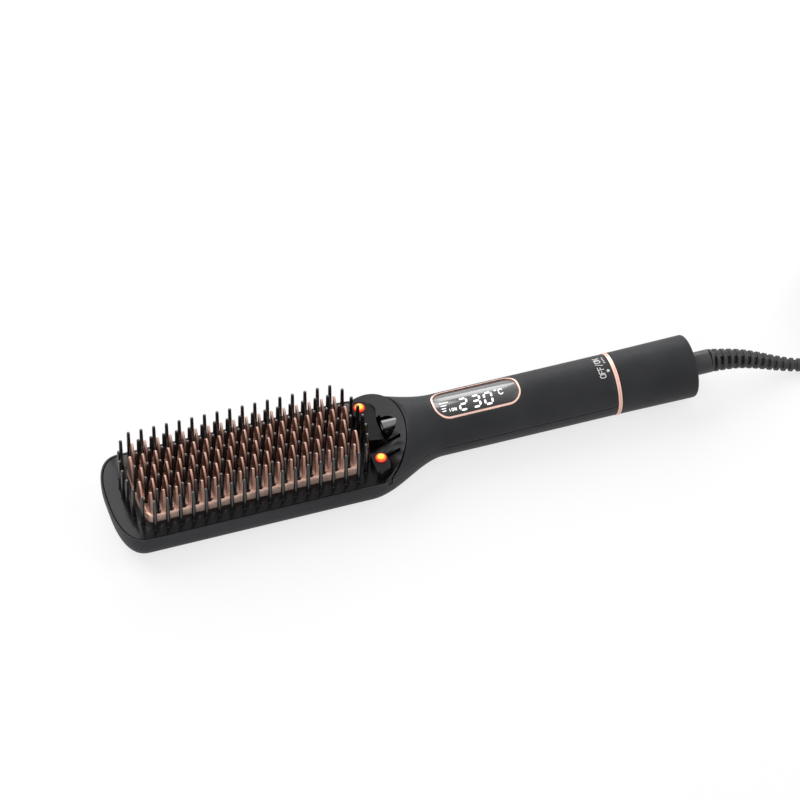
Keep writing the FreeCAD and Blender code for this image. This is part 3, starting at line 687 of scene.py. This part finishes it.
def makeShells():
    end = brush["shellEnd"]
    outer = bodyMesh("outer", 0.0, 144, end)
    inner = bodyMesh("inner", brush["wall"], 96, end + 5)
    skin = carve(outer, inner)
    gap = brush["parting"] / 2
    under = faceZ - frontFace["thick"]
    low = carve(skin.copy(), boxMesh("half", (-200, -40, 0.0), (end + 1, 40, axisZ - gap)), "INTERSECT")
    low = carve(low, prismMesh("opening", frameOutline(-brush["bezelGap"]), under, 60))
    bore = screwSizes["bore"]
    for x, y in screwSizes["places"]:
        hole = turnedPart(x, y, [(-1.0, bore), (screwSizes["top"], bore)], 36)
        low = carve(low, meshFrom("bore", *hole))
    low = softened(low, 0.22, 2, 40)
    pieceFrom("lowerCase", low, "housing", "case", ("lower_shell",), 30)
    high = carve(skin, boxMesh("half", (rampX, -40, axisZ + gap), (end + 1, 40, 60)), "INTERSECT")
    high = carve(high, airMesh(0.0))
    high = carve(high, prismMesh("opening", frameOutline(-brush["bezelGap"]), under, 60))
    high = carve(high, prismMesh("window", windowOutline(-brush["seam"]), axisZ + 2, 60))
    high = softened(high, 0.2, 2, 40)
    pieceFrom("upperCase", high, "housing", "case", ("upper_shell",), 30)


makeShells()
makeScrews()
print("shells done")


# raised shelves that carry the lamps, and grooves in the ramp beside them
shelves = {
    "top": 21.0,
    "far": [(-50.3, -4.2), (-42.7, -5.6), (-42.5, 8.4), (-41.3, 13.6), (-42.4, 17.6),
            (-45.8, 20.4), (-50.0, 21.6), (-52.4, 19.5), (-52.4, 13.0), (-50.3, 11.0)],
    "near": [(-52.4, -12.6), (-45.2, -13.2), (-44.6, -19.5), (-45.6, -23.6), (-50.0, -24.8),
             (-52.4, -23.8)],
    "grooves": [((-49.8, -5.9), (-36.4, -9.6), 2.0), ((-44.3, -15.3), (-38.6, -16.6), 1.8)],
    "grooveDeep": 1.8,
    "slot": ((0.3, -5.8), (2.2, 8.4)),
    "slotFloor": 0.6,
}


def strip(start, stop, wide):
    a, b = Vector(start), Vector(stop)
    side = (b - a).normalized().orthogonal() * wide / 2
    return [tuple(p) for p in (a + side, b + side, b - side, a - side)]


def makeBezel():
    under = faceZ - frontFace["thick"]
    solid = prismMesh("bezel", frameOutline(0.0), under, 60)
    solid = carve(solid, airMesh(0.0))
    levels = ((0.02, -0.4), (0.02, 0.001), (frontFace["bevelWide"], frontFace["bevelHigh"]))
    rows = [[(x, y, faceZ + rise) for x, y in frameOutline(inset)] for inset, rise in levels]
    solid = carve(solid, meshFrom("hip", *skinRows(rows)), "UNION")
    for outline in (shelves["far"], shelves["near"]):
        solid = carve(solid, prismMesh("shelf", outline, under + 0.5, shelves["top"]), "UNION")
        solid = carve(solid, prismMesh("above", outline, shelves["top"], 60))
    bore = frontFace["lampHole"]
    for side in (-1, 1):
        hole = turnedPart(frontFace["lampX"], side * frontFace["lampY"], [(under - 5, bore), (60, bore)], 40)
        solid = carve(solid, meshFrom("hole", *hole))
    for start, stop, wide in shelves["grooves"]:
        groove = prismMesh("groove", strip(start, stop, wide), 0, 50)
        solid = carve(solid, carve(groove, airMesh(-shelves["grooveDeep"]), "INTERSECT"))
    solid = carve(solid, prismMesh("plateHole", plateOutline(0.3), 0, 60))
    floor = axisZ + frontFace["outletFloor"]
    x, r = frontFace["outletX"], frontFace["outletRadius"]
    turns = [math.pi * i / 24 for i in range(1, 24)]
    arc = [(x, -r)] + [(x + r * math.sin(turn), -r * math.cos(turn)) for turn in turns] + [(x, r)]
    solid = carve(solid, prismMesh("recess", arc, floor, 60))
    (x0, y0), (x1, y1) = shelves["slot"]
    deep = under + shelves["slotFloor"]
    solid = carve(solid, boxMesh("slot", (x + x0, y0, deep), (x + x1, y1, 60)))
    mouth = frontFace["mouthRadius"]
    height = axisZ + frontFace["nozzleRise"]
    solid = carve(solid, turnedMesh("mouth", [(x + 5, mouth), (x + 15, mouth)], 32, height))
    solid = softened(solid, 0.25, 2, 25)
    pieceFrom("glossBezel", solid, "housing", "piano", ("front_bezel",), 25)


makeBezel()
print("bezel done")


def evenX():
    return [plateSizes["firstX"] + i * plateSizes["pitch"] for i in range(plateSizes["columns"])]


def oddX():
    return [plateSizes["firstX"] + (i - 0.5) * plateSizes["pitch"] for i in range(plateSizes["columns"] + 1)]


def fieldPlaces():
    gap = plateSizes["rowGap"]
    places = [(x, 0.0, 0.0) for x in oddX()]
    places += [(x, side * gap, 0.25) for side in (-1, 1) for x in evenX()]
    places += [(x, side * 2 * gap, 0.75) for side in (-1, 1) for x in oddX()[1:-1]]
    return places


def finPlaces():
    gap = plateSizes["rowGap"]
    places = [(x, side * gap) for side in (-1, 1) for x in oddX()]
    places += [(x, y) for y in (-2 * gap, 0.0, 2 * gap) for x in evenX()]
    return places


def ringPlaces():
    row, half, bulge, power = (plateSizes[k] for k in ("ringRow", "arcHalf", "ringBulge", "arcPower"))
    places = [(x, side * row) for side in (-1, 1) for x in evenX()]
    for x, sign in ((plateSizes["firstX"], -1), (lastX, 1)):
        for y in spread(-half, half, plateSizes["arcCount"]):
            rest = 1 - (abs(y) / row) ** power
            places.append((x + sign * bulge * rest ** (1 / power), y))
    return places


bristleSizes = {"foot": 1.06, "top": 0.8, "sides": 14, "flare": 0.3, "flareHigh": 1.2}


def bristlePart(x, y, rootZ, surfaceZ, tipZ):
    foot, top = bristleSizes["foot"], bristleSizes["top"]
    profile = [(rootZ, foot), (surfaceZ, foot + bristleSizes["flare"]), (surfaceZ + 0.3, foot + 0.16),
               (surfaceZ + 0.7, foot + 0.05), (surfaceZ + bristleSizes["flareHigh"], foot)]
    for share in (0.35, 0.7):
        profile.append((surfaceZ + (tipZ - surfaceZ) * share, foot + (top - foot) * share))
    for i in range(6):
        turn = math.pi / 2 * i / 5
        profile.append((tipZ - top * 1.15 * (1 - math.sin(turn)), max(top * math.cos(turn), 0.02)))
    return turnedPart(x, y, profile, bristleSizes["sides"])


def finPart(x, y):
    # blade across the head, pointed at the top, with a rounded rim
    half, high = plateSizes["finHalf"], plateSizes["finHigh"]
    edge = plateSizes["half"] - plateSizes["finInset"]
    thick = plateSizes["finThick"] / 2
    steps = 28
    rows = []
    for offset, shrink in ((-thick, 0.45), (-thick * 0.8, 0.12), (-thick * 0.35, 0.0), (thick * 0.35, 0.0),
                           (thick * 0.8, 0.12), (thick, 0.45)):
        row = [(x + offset, max(-edge, min(edge, y - half + shrink)), plateZ - 0.6)]
        for i in range(steps + 1):
            turn = math.pi * (1 - i / steps)
            lean = math.cos(turn) * abs(math.cos(turn)) ** plateSizes["finPoint"]
            across = y + (half - shrink) * lean
            rise = plateZ + (high - shrink) * math.sin(turn)
            row.append((x + offset, max(-edge, min(edge, across)), rise))
        row.append((x + offset, max(-edge, min(edge, y + half - shrink)), plateZ - 0.6))
        rows.append(row)
    return skinRows(rows)


def makePlate():
    floor = plateZ - plateSizes["thick"]
    top = plateZ + plateSizes["rim"]
    levels = ((0.0, floor), (0.0, top - 0.7), (0.2, top - 0.25), (0.7, top), (1.7, top), (2.4, top - 0.4))
    rows = [[(x, y, z) for x, y in plateOutline(-inset)] for inset, z in levels]
    base = meshFrom("plate", *skinRows(rows))
    profile = [(floor - 1, plateSizes["hole"]), (top + 1, plateSizes["hole"])]
    holes = [turnedPart(x, y, profile, 16) for x, y, _ in fieldPlaces()]
    base = carve(base, meshFrom("holes", *joinParts(holes)))
    finMesh = meshFrom("fins", *joinParts([finPart(x, y) for x, y in finPlaces()]))
    pieceFrom("heatedPlate", base, "housing", "plate", ("heating_plate",), 30)
    pieceFrom("heatedFins", finMesh, "housing", "plate", (), 50)


def makeBristles():
    root, surface, tip = plateZ - plateSizes["thick"] + 0.3, plateZ + 1.6, plateSizes["fieldTip"]
    field = [bristlePart(x, y, root, surface, tip - drop) for x, y, drop in fieldPlaces()]
    mesh = meshFrom("field", *joinParts(field))
    pieceFrom("innerBristles", mesh, "housing", "nylon", ("field_bristles",), 60)
    root, surface, tip = faceZ - 2.4, faceZ + frontFace["bevelHigh"] - 0.1, plateSizes["ringTip"]
    ring = [bristlePart(x, y, root, surface, tip) for x, y in ringPlaces()]
    mesh = meshFrom("ring", *joinParts(ring))
    pieceFrom("outerBristles", mesh, "housing", "nylon", ("ring_bristles",), 60)


makePlate()
makeBristles()
print("plate and bristles done")


def makeLamps():
    x, y, radius, dome, shank = (frontFace["lamp" + k] for k in ("X", "Y", "Radius", "Dome", "Shank"))
    top = axisZ + frontFace["lampTop"]
    profile = [(frontFace["lampFoot"], shank), (top - 0.35, shank), (top - 0.3, radius)]
    turns = [math.pi / 2 * i / 8 for i in range(9)]
    profile += [(top + dome * math.sin(turn), radius * math.cos(turn) + 0.01) for turn in turns]
    discs = [turnedPart(x, side * y, profile, 36) for side in (-1, 1)]
    mesh = meshFrom("lamps", *joinParts(discs))
    pieceFrom("statusLamps", mesh, "housing", "lamp", ("lamp_lenses",), 40)


def makeOutlet():
    x = frontFace["outletX"] + 0.5
    radius, long, bore, deep = (frontFace["nozzle" + k] for k in ("Radius", "Long", "Bore", "Deep"))
    corners = [(x + long, radius), (x, radius), (x, bore), (x + deep, bore), (x + deep, 0.02)]
    mesh = turnedMesh("nozzle", roundedProfile(corners, 0.25), 40, axisZ + frontFace["nozzleRise"])
    pieceFrom("outletNozzle", mesh, "housing", "nozzle", ("ion_nozzle",), 40)


makeLamps()
makeOutlet()
print("lamps done")


def ontoHandle(points, radius):
    # wraps flat (x, y) points round the handle at a radius
    return [(x, radius * math.sin(y / radius), axisZ + radius * math.cos(y / radius)) for x, y in points]


def sleeveMesh(outline, radius):
    # the part of a tube round the handle that lies inside an outline
    x, reach, bore = windowSizes["x"], windowSizes["reach"], windowSizes["inner"]
    outer = turnedMesh("outer", [(x - reach, radius), (x + reach, radius)], 256)
    inner = turnedMesh("inner", [(x - reach - 1, bore), (x + reach + 1, bore)], 256)
    return carve(carve(outer, inner), prismMesh("part", outline, axisZ + 2, 60), "INTERSECT")


def makeWindow():
    trim = windowSizes["trim"]
    pane = softened(sleeveMesh(windowOutline(trim + windowSizes["gap"]), windowSizes["paneRadius"]), 0.12, 2)
    pieceFrom("displayPane", pane, "housing", "window", ("display_window",), 25)
    band = sleeveMesh(windowOutline(0.0), windowSizes["trimRadius"])
    band = softened(carve(band, prismMesh("hole", windowOutline(trim), axisZ, 70)), 0.22, 3)
    pieceFrom("displayTrim", band, "housing", "trim", ("display_trim",), 30)


digitSizes = {
    "wide": 4.6, "high": 7.0, "bar": 0.98, "gap": 0.34, "lean": 0.09, "radius": 14.58,
    "level": -3.0, "starts": (-5.25, 1.2, 7.31), "degree": (14.0, 0.3, 0.5),
    "unit": ("C", (15.5, -2.5), 2.9, 0.45, 1.0), "word": ("ION", (-10.5, -5.4), 1.35, 0.26, 1.4),
    "lines": ((-0.1, -14.0, -9.7), (-1.8, -13.8, -11.0), (-3.3, -13.8, -11.7), (-4.6, -13.7, -11.9)),
    "lineThick": 0.42,
}
segments = {"0": "abcdef", "2": "abged", "3": "abgcd"}
strokes = {
    "O": [(0.18, 0), (0, 0.2), (0, 0.8), (0.18, 1), (0.44, 1), (0.62, 0.8), (0.62, 0.2), (0.44, 0),
          (0.18, 0)],
    "F": [(0.54, 1), (0, 1), (0, 0.52), (0.44, 0.52), (0, 0.52), (0, 0)],
    "N": [(0, 0), (0, 1), (0.6, 0), (0.6, 1)],
    "I": [(0.3, 0), (0.3, 1)],
    "/": [(0.06, -0.08), (0.5, 1.08)],
    "C": [(0.6, 0.82), (0.42, 1), (0.18, 1), (0, 0.8), (0, 0.2), (0.18, 0), (0.42, 0), (0.6, 0.18)],
}


def acrossBar(level):
    wide, bar, gap = (digitSizes[k] for k in ("wide", "bar", "gap"))
    h = bar / 2
    near, far = bar + gap, wide - bar - gap
    return [(gap + h, level), (near, level + h), (far, level + h), (wide - gap - h, level),
            (far, level - h), (near, level - h)]


def downBar(u, low, high):
    bar, gap = digitSizes["bar"], digitSizes["gap"]
    h = bar / 2
    return [(u, low + gap + h), (u + h, low + gap + bar), (u + h, high - gap - bar), (u, high - gap - h),
            (u - h, high - gap - bar), (u - h, low + gap + bar)]


def segmentShape(letter):
    wide, high, h = digitSizes["wide"], digitSizes["high"], digitSizes["bar"] / 2
    middle = high / 2
    shapes = {"a": acrossBar(high - h), "g": acrossBar(middle), "d": acrossBar(h),
              "b": downBar(wide - h, middle - h, high), "c": downBar(wide - h, 0, middle + h),
              "e": downBar(h, 0, middle + h), "f": downBar(h, middle - h, high)}
    return shapes[letter]


def letterShapes(text, start, size, thick, pitch, turned=False):
    # each stroke of a letter as a small bar; turned letters run round the handle
    shapes = []
    for i, letter in enumerate(text):
        line = strokes[letter]
        for (u0, v0), (u1, v1) in zip(line, line[1:]):
            a = Vector((i * pitch + u0 * size, v0 * size))
            b = Vector((i * pitch + u1 * size, v1 * size))
            reach = (b - a).normalized() * thick / 2
            bar = strip(a - reach, b + reach, thick)
            if turned:
                bar = [(-v, u) for u, v in bar]
            shapes.append([(start[0] + u, start[1] + v) for u, v in bar])
    return shapes


def dotShape(x, y, radius, count=14):
    return [(x + radius * c, y + radius * s) for c, s in circle(count)]


def printed(shapes, radius, thick):
    # thin shapes wrapped onto the handle, from flat outlines
    parts = []
    for outline in shapes:
        dense = []
        for (x0, y0), (x1, y1) in zip(outline, outline[1:] + outline[:1]):
            steps = max(1, int(math.hypot(x1 - x0, y1 - y0) / 0.5))
            dense += [(x0 + (x1 - x0) * i / steps, y0 + (y1 - y0) * i / steps) for i in range(steps)]
        parts.append(skinRows([ontoHandle(dense, radius - 0.12), ontoHandle(dense, radius + thick)]))
    return joinParts(parts)


def makeDigits():
    # the reading runs along the handle and is read from its side
    shapes = []
    half, lean = digitSizes["high"] / 2, digitSizes["lean"]
    low = digitSizes["level"] - half
    for x, text in zip(digitSizes["starts"], "230"):
        for letter in segments[text]:
            shapes.append([(x + u + (v - half) * lean, low + v) for u, v in segmentShape(letter)])
    for y, start, end in digitSizes["lines"]:
        shapes.append(strip((start, y), (end, y), digitSizes["lineThick"]))
    shapes.append(dotShape(*digitSizes["degree"]))
    shapes += letterShapes(*digitSizes["unit"]) + letterShapes(*digitSizes["word"])
    mesh = meshFrom("digits", *printed(shapes, digitSizes["radius"], 0.0))
    pieceFrom("litReading", mesh, "housing", "digit", (), 40)


markSizes = {
    "word": ("OFF/ON", (68.0, -7.0), 2.7, 0.42, 2.2, True),
    "radius": 15.0,
    "dots": ((69.9, -3.9, 0.75), (69.8, 1.2, 0.42), (69.8, 2.6, 0.42), (69.8, 4.0, 0.42),
             (69.8, 5.4, 0.42)),
}


def makeMarks():
    # the switch marks beside the dial, read round the handle
    shapes = letterShapes(*markSizes["word"])
    shapes += [dotShape(*dot) for dot in markSizes["dots"]]
    mesh = meshFrom("marks", *printed(shapes, markSizes["radius"], 0.02))
    pieceFrom("switchMarks", mesh, "housing", "mark", (), 40)


makeWindow()
makeDigits()
makeMarks()
print("display done")


tail = {
    "ringX": 72.0, "ringWide": 1.9, "ringRadius": 15.25, "ringBore": 11.2,
    "grooveStart": 0.75, "grooveEnd": 1.15, "grooveDeep": 0.35,
    "dialStart": 74.05, "dialEnd": 113.35, "dialRadius": 15.05, "rim": 15.45,
    "dialBore": 13.0, "farBore": 13.4, "endBore": 6.1, "endThick": 2,
    "webRadius": 13.1, "webThick": 2.5, "hubRadius": 10.9, "hubBore": 9.06, "hubStart": 69.8, "hubLong": 14,
}


def turnedPiece(profile, count):
    # a closed profile turned round the handle axis
    if profile[0] != profile[-1]:
        profile = profile + [profile[0]]
    rows = turnedRows(profile, count)
    return meshFrom("turned", *skinRows(rows, caps=False))


def makeTail():
    x, r, bore = tail["ringX"], tail["ringRadius"], tail["ringBore"]
    a, b, end = (x + tail[k] for k in ("grooveStart", "grooveEnd", "ringWide"))
    deep = r - tail["grooveDeep"]
    corners = [(x, bore), (x, r), (a, r), (a, deep), (b, deep), (b, r), (end, r), (end, bore)]
    ring = turnedPiece(roundedProfile(corners, 0.16, 3), 160)
    pieceFrom("trimRing", ring, "housing", "trim", ("trim_ring",), 25)
    start, end, bore, hole = (tail[k] for k in ("dialStart", "dialEnd", "dialBore", "endBore"))
    back = end - tail["endThick"]
    corners = [(start, bore), (start, tail["dialRadius"]), (end, tail["rim"]), (end, hole), (back, hole),
               (back, tail["farBore"]), (start, bore)]
    shell = turnedPiece(roundedProfile(corners, 1.6, 6), 160)
    first, low, high, wide = (tail[k] for k in ("hubStart", "hubBore", "hubRadius", "webRadius"))
    a, b = start + tail["webThick"], start + tail["hubLong"]
    web = turnedPiece([(start, wide), (a, wide), (a, high), (b, high), (b, low), (first, low), (first, high),
                       (start, high), (start, wide)], 96)
    pieceFrom("turnDial", shell, "dial", "case", ("end_dial",), 30)
    pieceFrom("dialHub", web, "dial", "inner", (), 30)


makeTail()
print("dial done")


reliefRoute = [(123.85, 0.0, 15.6), (136.0, -0.3, 13.9), (147.5, -1.5, 10.3), (158.5, -3.5, 6.3),
               (168.5, -5.7, 3.8), (179.5, -8.2, 3.1)]
reliefSizes = {
    "ribs": 15, "rib": 1.75, "core": 2.35, "collar": 5.6, "collarLong": 1.2, "neck": 4.6,
    "first": 2.6, "margin": 6.6, "small": 3.1, "grow": 2.4, "taper": 1.4, "link": 0.7,
    "edge": 0.25, "tip": 2.9, "sides": 48,
}
cordSizes = {
    "diameter": 6.0, "turns": 7.625, "wide": 4, "middle": 33.0, "centre": (228.0, 17.0),
    "perTurn": 16, "firstAngle": 250, "stepFrom": 0.72, "stepLong": 0.28,
}
leadRoute = [(177.5, -7.83, 3.1), (189.5, -11.6, 3.05), (202.0, -17.3, 3.0)]
tailRoute = [(194.0, 40.8, 9.2), (186.7, 25.2, 11.3), (187.8, 8.0, 14.2), (197.0, -6.5, 16.6),
             (212.1, -14.8, 18.5), (229.2, -14.8, 19.0)]


def makeRelief():
    # ribs on a core, tied to each other by links along the upper side
    names = ("ribs", "rib", "core", "collar", "collarLong")
    count, wide, core, collar, long = (reliefSizes[name] for name in names)
    route = splinePoints(reliefRoute, 120)
    lengths = [0.0]
    for a, b in zip(route, route[1:]):
        lengths.append(lengths[-1] + (b - a).length)
    total = lengths[-1]
    levels = [(0.0, collar, collar), (long, collar, collar), (long, core, reliefSizes["neck"])]
    for i in range(count):
        share = i / (count - 1)
        at = reliefSizes["first"] + share * (total - reliefSizes["margin"])
        size = reliefSizes["small"] + reliefSizes["grow"] * (1 - share) ** reliefSizes["taper"]
        link, worn = size - reliefSizes["link"], size - reliefSizes["edge"]
        levels += [(at, core, link), (at, worn, worn), (at + 0.2, size, size),
                   (at + wide - 0.2, size, size), (at + wide, worn, worn), (at + wide, core, link)]
    levels.append((total, reliefSizes["tip"], reliefSizes["tip"]))
    rows = []
    for distance, radius, upper in levels:
        point, heading = along(route, lengths, distance)
        side = heading.cross(Vector((0, 0, 1))).normalized()
        rise = side.cross(heading).normalized()
        row = []
        for i, (c, s) in enumerate(circle(reliefSizes["sides"])):
            reach = upper if 9 <= i <= 15 else radius
            row.append(tuple(point + side * reach * c + rise * reach * s))
        rows.append(row)
    mesh = meshFrom("relief", *skinRows(rows))
    mesh = carve(mesh, boxMesh("end", (leadRoute[0][0], -40, -20), (200, 40, 60)))
    pieceFrom("strainRelief", mesh, "swivel", "relief", ("strain_relief",), 35)


def addSpline(curve, route):
    curve.dimensions = "3D"
    spline = curve.splines.new("NURBS")
    spline.points.add(len(route) - 1)
    for point, spot in zip(spline.points, route):
        point.co = (*spot, 1.0)
    spline.order_u = 3
    spline.use_endpoint_u = True


def splinePoints(route, steps):
    curve = bpy.data.curves.new("guide", "CURVE")
    addSpline(curve, route)
    curve.resolution_u = max(4, steps // len(route))
    mesh = baked(placed("guide", curve))
    points = [v.co.copy() for v in mesh.vertices]
    bpy.data.meshes.remove(mesh)
    return points


def along(route, lengths, distance):
    distance = min(max(distance, 0.0), lengths[-1])
    for i in range(len(route) - 1):
        if distance <= lengths[i + 1]:
            share = (distance - lengths[i]) / (lengths[i + 1] - lengths[i])
            return route[i].lerp(route[i + 1], share), (route[i + 1] - route[i]).normalized()
    return route[-1], (route[-1] - route[-2]).normalized()


def coilPoints():
    cx, cy = cordSizes["centre"]
    d = cordSizes["diameter"]
    radii = [cordSizes["middle"] + d * (i - (cordSizes["wide"] - 1) / 2) for i in range(cordSizes["wide"])]
    order = [(r, d / 2) for r in reversed(radii)] + [(r, d * 1.5) for r in radii]
    points = []
    per = cordSizes["perTurn"]
    start = math.radians(cordSizes["firstAngle"])
    grow = 1 / math.cos(math.pi / per) ** 0.5
    total = int(cordSizes["turns"] * per)
    for i in range(total + 1):
        turn = min(i // per, len(order) - 1)
        share = i / per - turn
        r, z = order[turn]
        if turn + 1 < len(order):
            nextR, nextZ = order[turn + 1]
            step = ease((share - cordSizes["stepFrom"]) / cordSizes["stepLong"])
            r += (nextR - r) * step
            z += (nextZ - z) * step
        angle = start + math.tau * i / per
        points.append((cx + r * grow * math.cos(angle), cy + r * grow * math.sin(angle), z))
    return points


def makeCord():
    route = leadRoute + coilPoints() + tailRoute
    curve = bpy.data.curves.new("mainsCord", "CURVE")
    curve.bevel_depth = cordSizes["diameter"] / 2000
    curve.bevel_resolution = 6
    curve.use_fill_caps = True
    curve.resolution_u = 6
    addSpline(curve, [tuple(c / 1000 for c in spot) for spot in route])
    piece = placed("mainsCord", curve)
    curve.materials.append(finishes["rubber"])
    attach(piece, "swivel")
    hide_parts("cord_lead", "cord_coil", "cord_tail")
    guide = splinePoints(route, len(route) * 8)


makeRelief()
makeCord()
print("cord done")


keptFinishes = {
    "steel": ("ion_needle", "heater_clamp", "retaining_clip", "detent_spring", "swivel_clip"),
    "board": ("lamp_board", "main_board", "dial_sensor_board"),
    "inner": ("heater_tray", "display_module", "relay_and_filter", "capacitor", "ion_generator", "tail_tube"),
    "ceramic": ("ceramic_heaters", "insulation_sheet", "thermal_fuse", "temperature_sensor"),
    "brass": ("dial_wiper", "contact_rings", "contact_brushes"),
    "relief": ("swivel_core",),
    "rubber": ("plug_body",),
    "chrome": ("plug_pins",),
}
for finish, nodes in keptFinishes.items():
    for name in nodes:
        kept = cadNodes[name]
        if not kept.material_slots:
            kept.data.materials.append(None)
        for slot in kept.material_slots:
            slot.material = finishes[finish]
print("kept solids finished:", sum(len(nodes) for nodes in keptFinishes.values()))


studio = {
    "world": (0.8, 0.82, 0.85),
    "worldStrength": 0.34,
    "floorShade": 0.93,
    "floorGlow": 0.74,
    "lights": (
        ("keyLight", (-0.74, 1.18, 1.42), 1.6, 30.0),
        ("fillLight", (-0.9, -1.2, 1.1), 1.6, 9.0),
        ("sideLight", (1.2, -0.2, 1.0), 1.0, 6.0),
        ("backLight", (0.45, 1.55, 0.9), 0.9, 10.0),
    ),
}


def backdropShare(tree):
    # 1 for rays that should meet the pale backdrop: from the camera, and in gloss and glass
    path = tree.nodes.new("ShaderNodeLightPath")
    share = path.outputs["Is Camera Ray"]
    for ray in ("Is Glossy Ray", "Is Transmission Ray"):
        either = tree.nodes.new("ShaderNodeMath")
        either.operation = "MAXIMUM"
        tree.links.new(share, either.inputs[0])
        tree.links.new(path.outputs[ray], either.inputs[1])
        share = either.outputs[0]
    return share


def makeWorld():
    world = bpy.data.worlds.new("studio")
    bpy.context.scene.world = world
    world.use_nodes = True
    tree = world.node_tree
    tree.nodes.clear()
    dim = tree.nodes.new("ShaderNodeBackground")
    dim.inputs[0].default_value = (*studio["world"], 1)
    dim.inputs[1].default_value = studio["worldStrength"]
    seen = tree.nodes.new("ShaderNodeBackground")
    seen.inputs[0].default_value = (1, 1, 1, 1)
    blend = tree.nodes.new("ShaderNodeMixShader")
    out = tree.nodes.new("ShaderNodeOutputWorld")
    tree.links.new(backdropShare(tree), blend.inputs[0])
    tree.links.new(dim.outputs[0], blend.inputs[1])
    tree.links.new(seen.outputs[0], blend.inputs[2])
    tree.links.new(blend.outputs[0], out.inputs[0])


def makeFloor():
    mesh = bpy.data.meshes.new("floor")
    mesh.from_pydata([(-4, -4, 0), (4, -4, 0), (4, 4, 0), (-4, 4, 0)], [], [(0, 1, 2, 3)])
    floor = placed("floor", mesh)
    floor.location.z = -0.0002
    finish = Finish("paleFloor", Roughness=0.9)
    finish.set("Base Color", (*(studio["floorShade"],) * 3, 1))
    glow = finish.node("Emission", {}, {"Color": (1, 1, 1, 1)})
    share = Wire(finish, backdropShare(finish.tree)) * studio["floorGlow"]
    lit = Wire(finish, finish.shader.outputs[0])
    both = finish.node("MixShader", {}, {0: share, 1: lit, 2: glow})
    end = next(n for n in finish.tree.nodes if n.type == "OUTPUT_MATERIAL")
    finish.tree.links.new(both.socket, end.inputs[0])
    mesh.materials.append(finish.material)


def makeLights():
    for name, spot, size, power in studio["lights"]:
        data = bpy.data.lights.new(name, "AREA")
        data.size = size
        data.energy = power
        lamp = placed(name, data)
        lamp.location = spot
        lamp.rotation_euler = (-Vector(spot)).to_track_quat("-Z", "Y").to_euler()


bpy.context.scene.view_settings.view_transform = "Standard"
makeWorld()
makeFloor()
makeLights()
print("studio done")
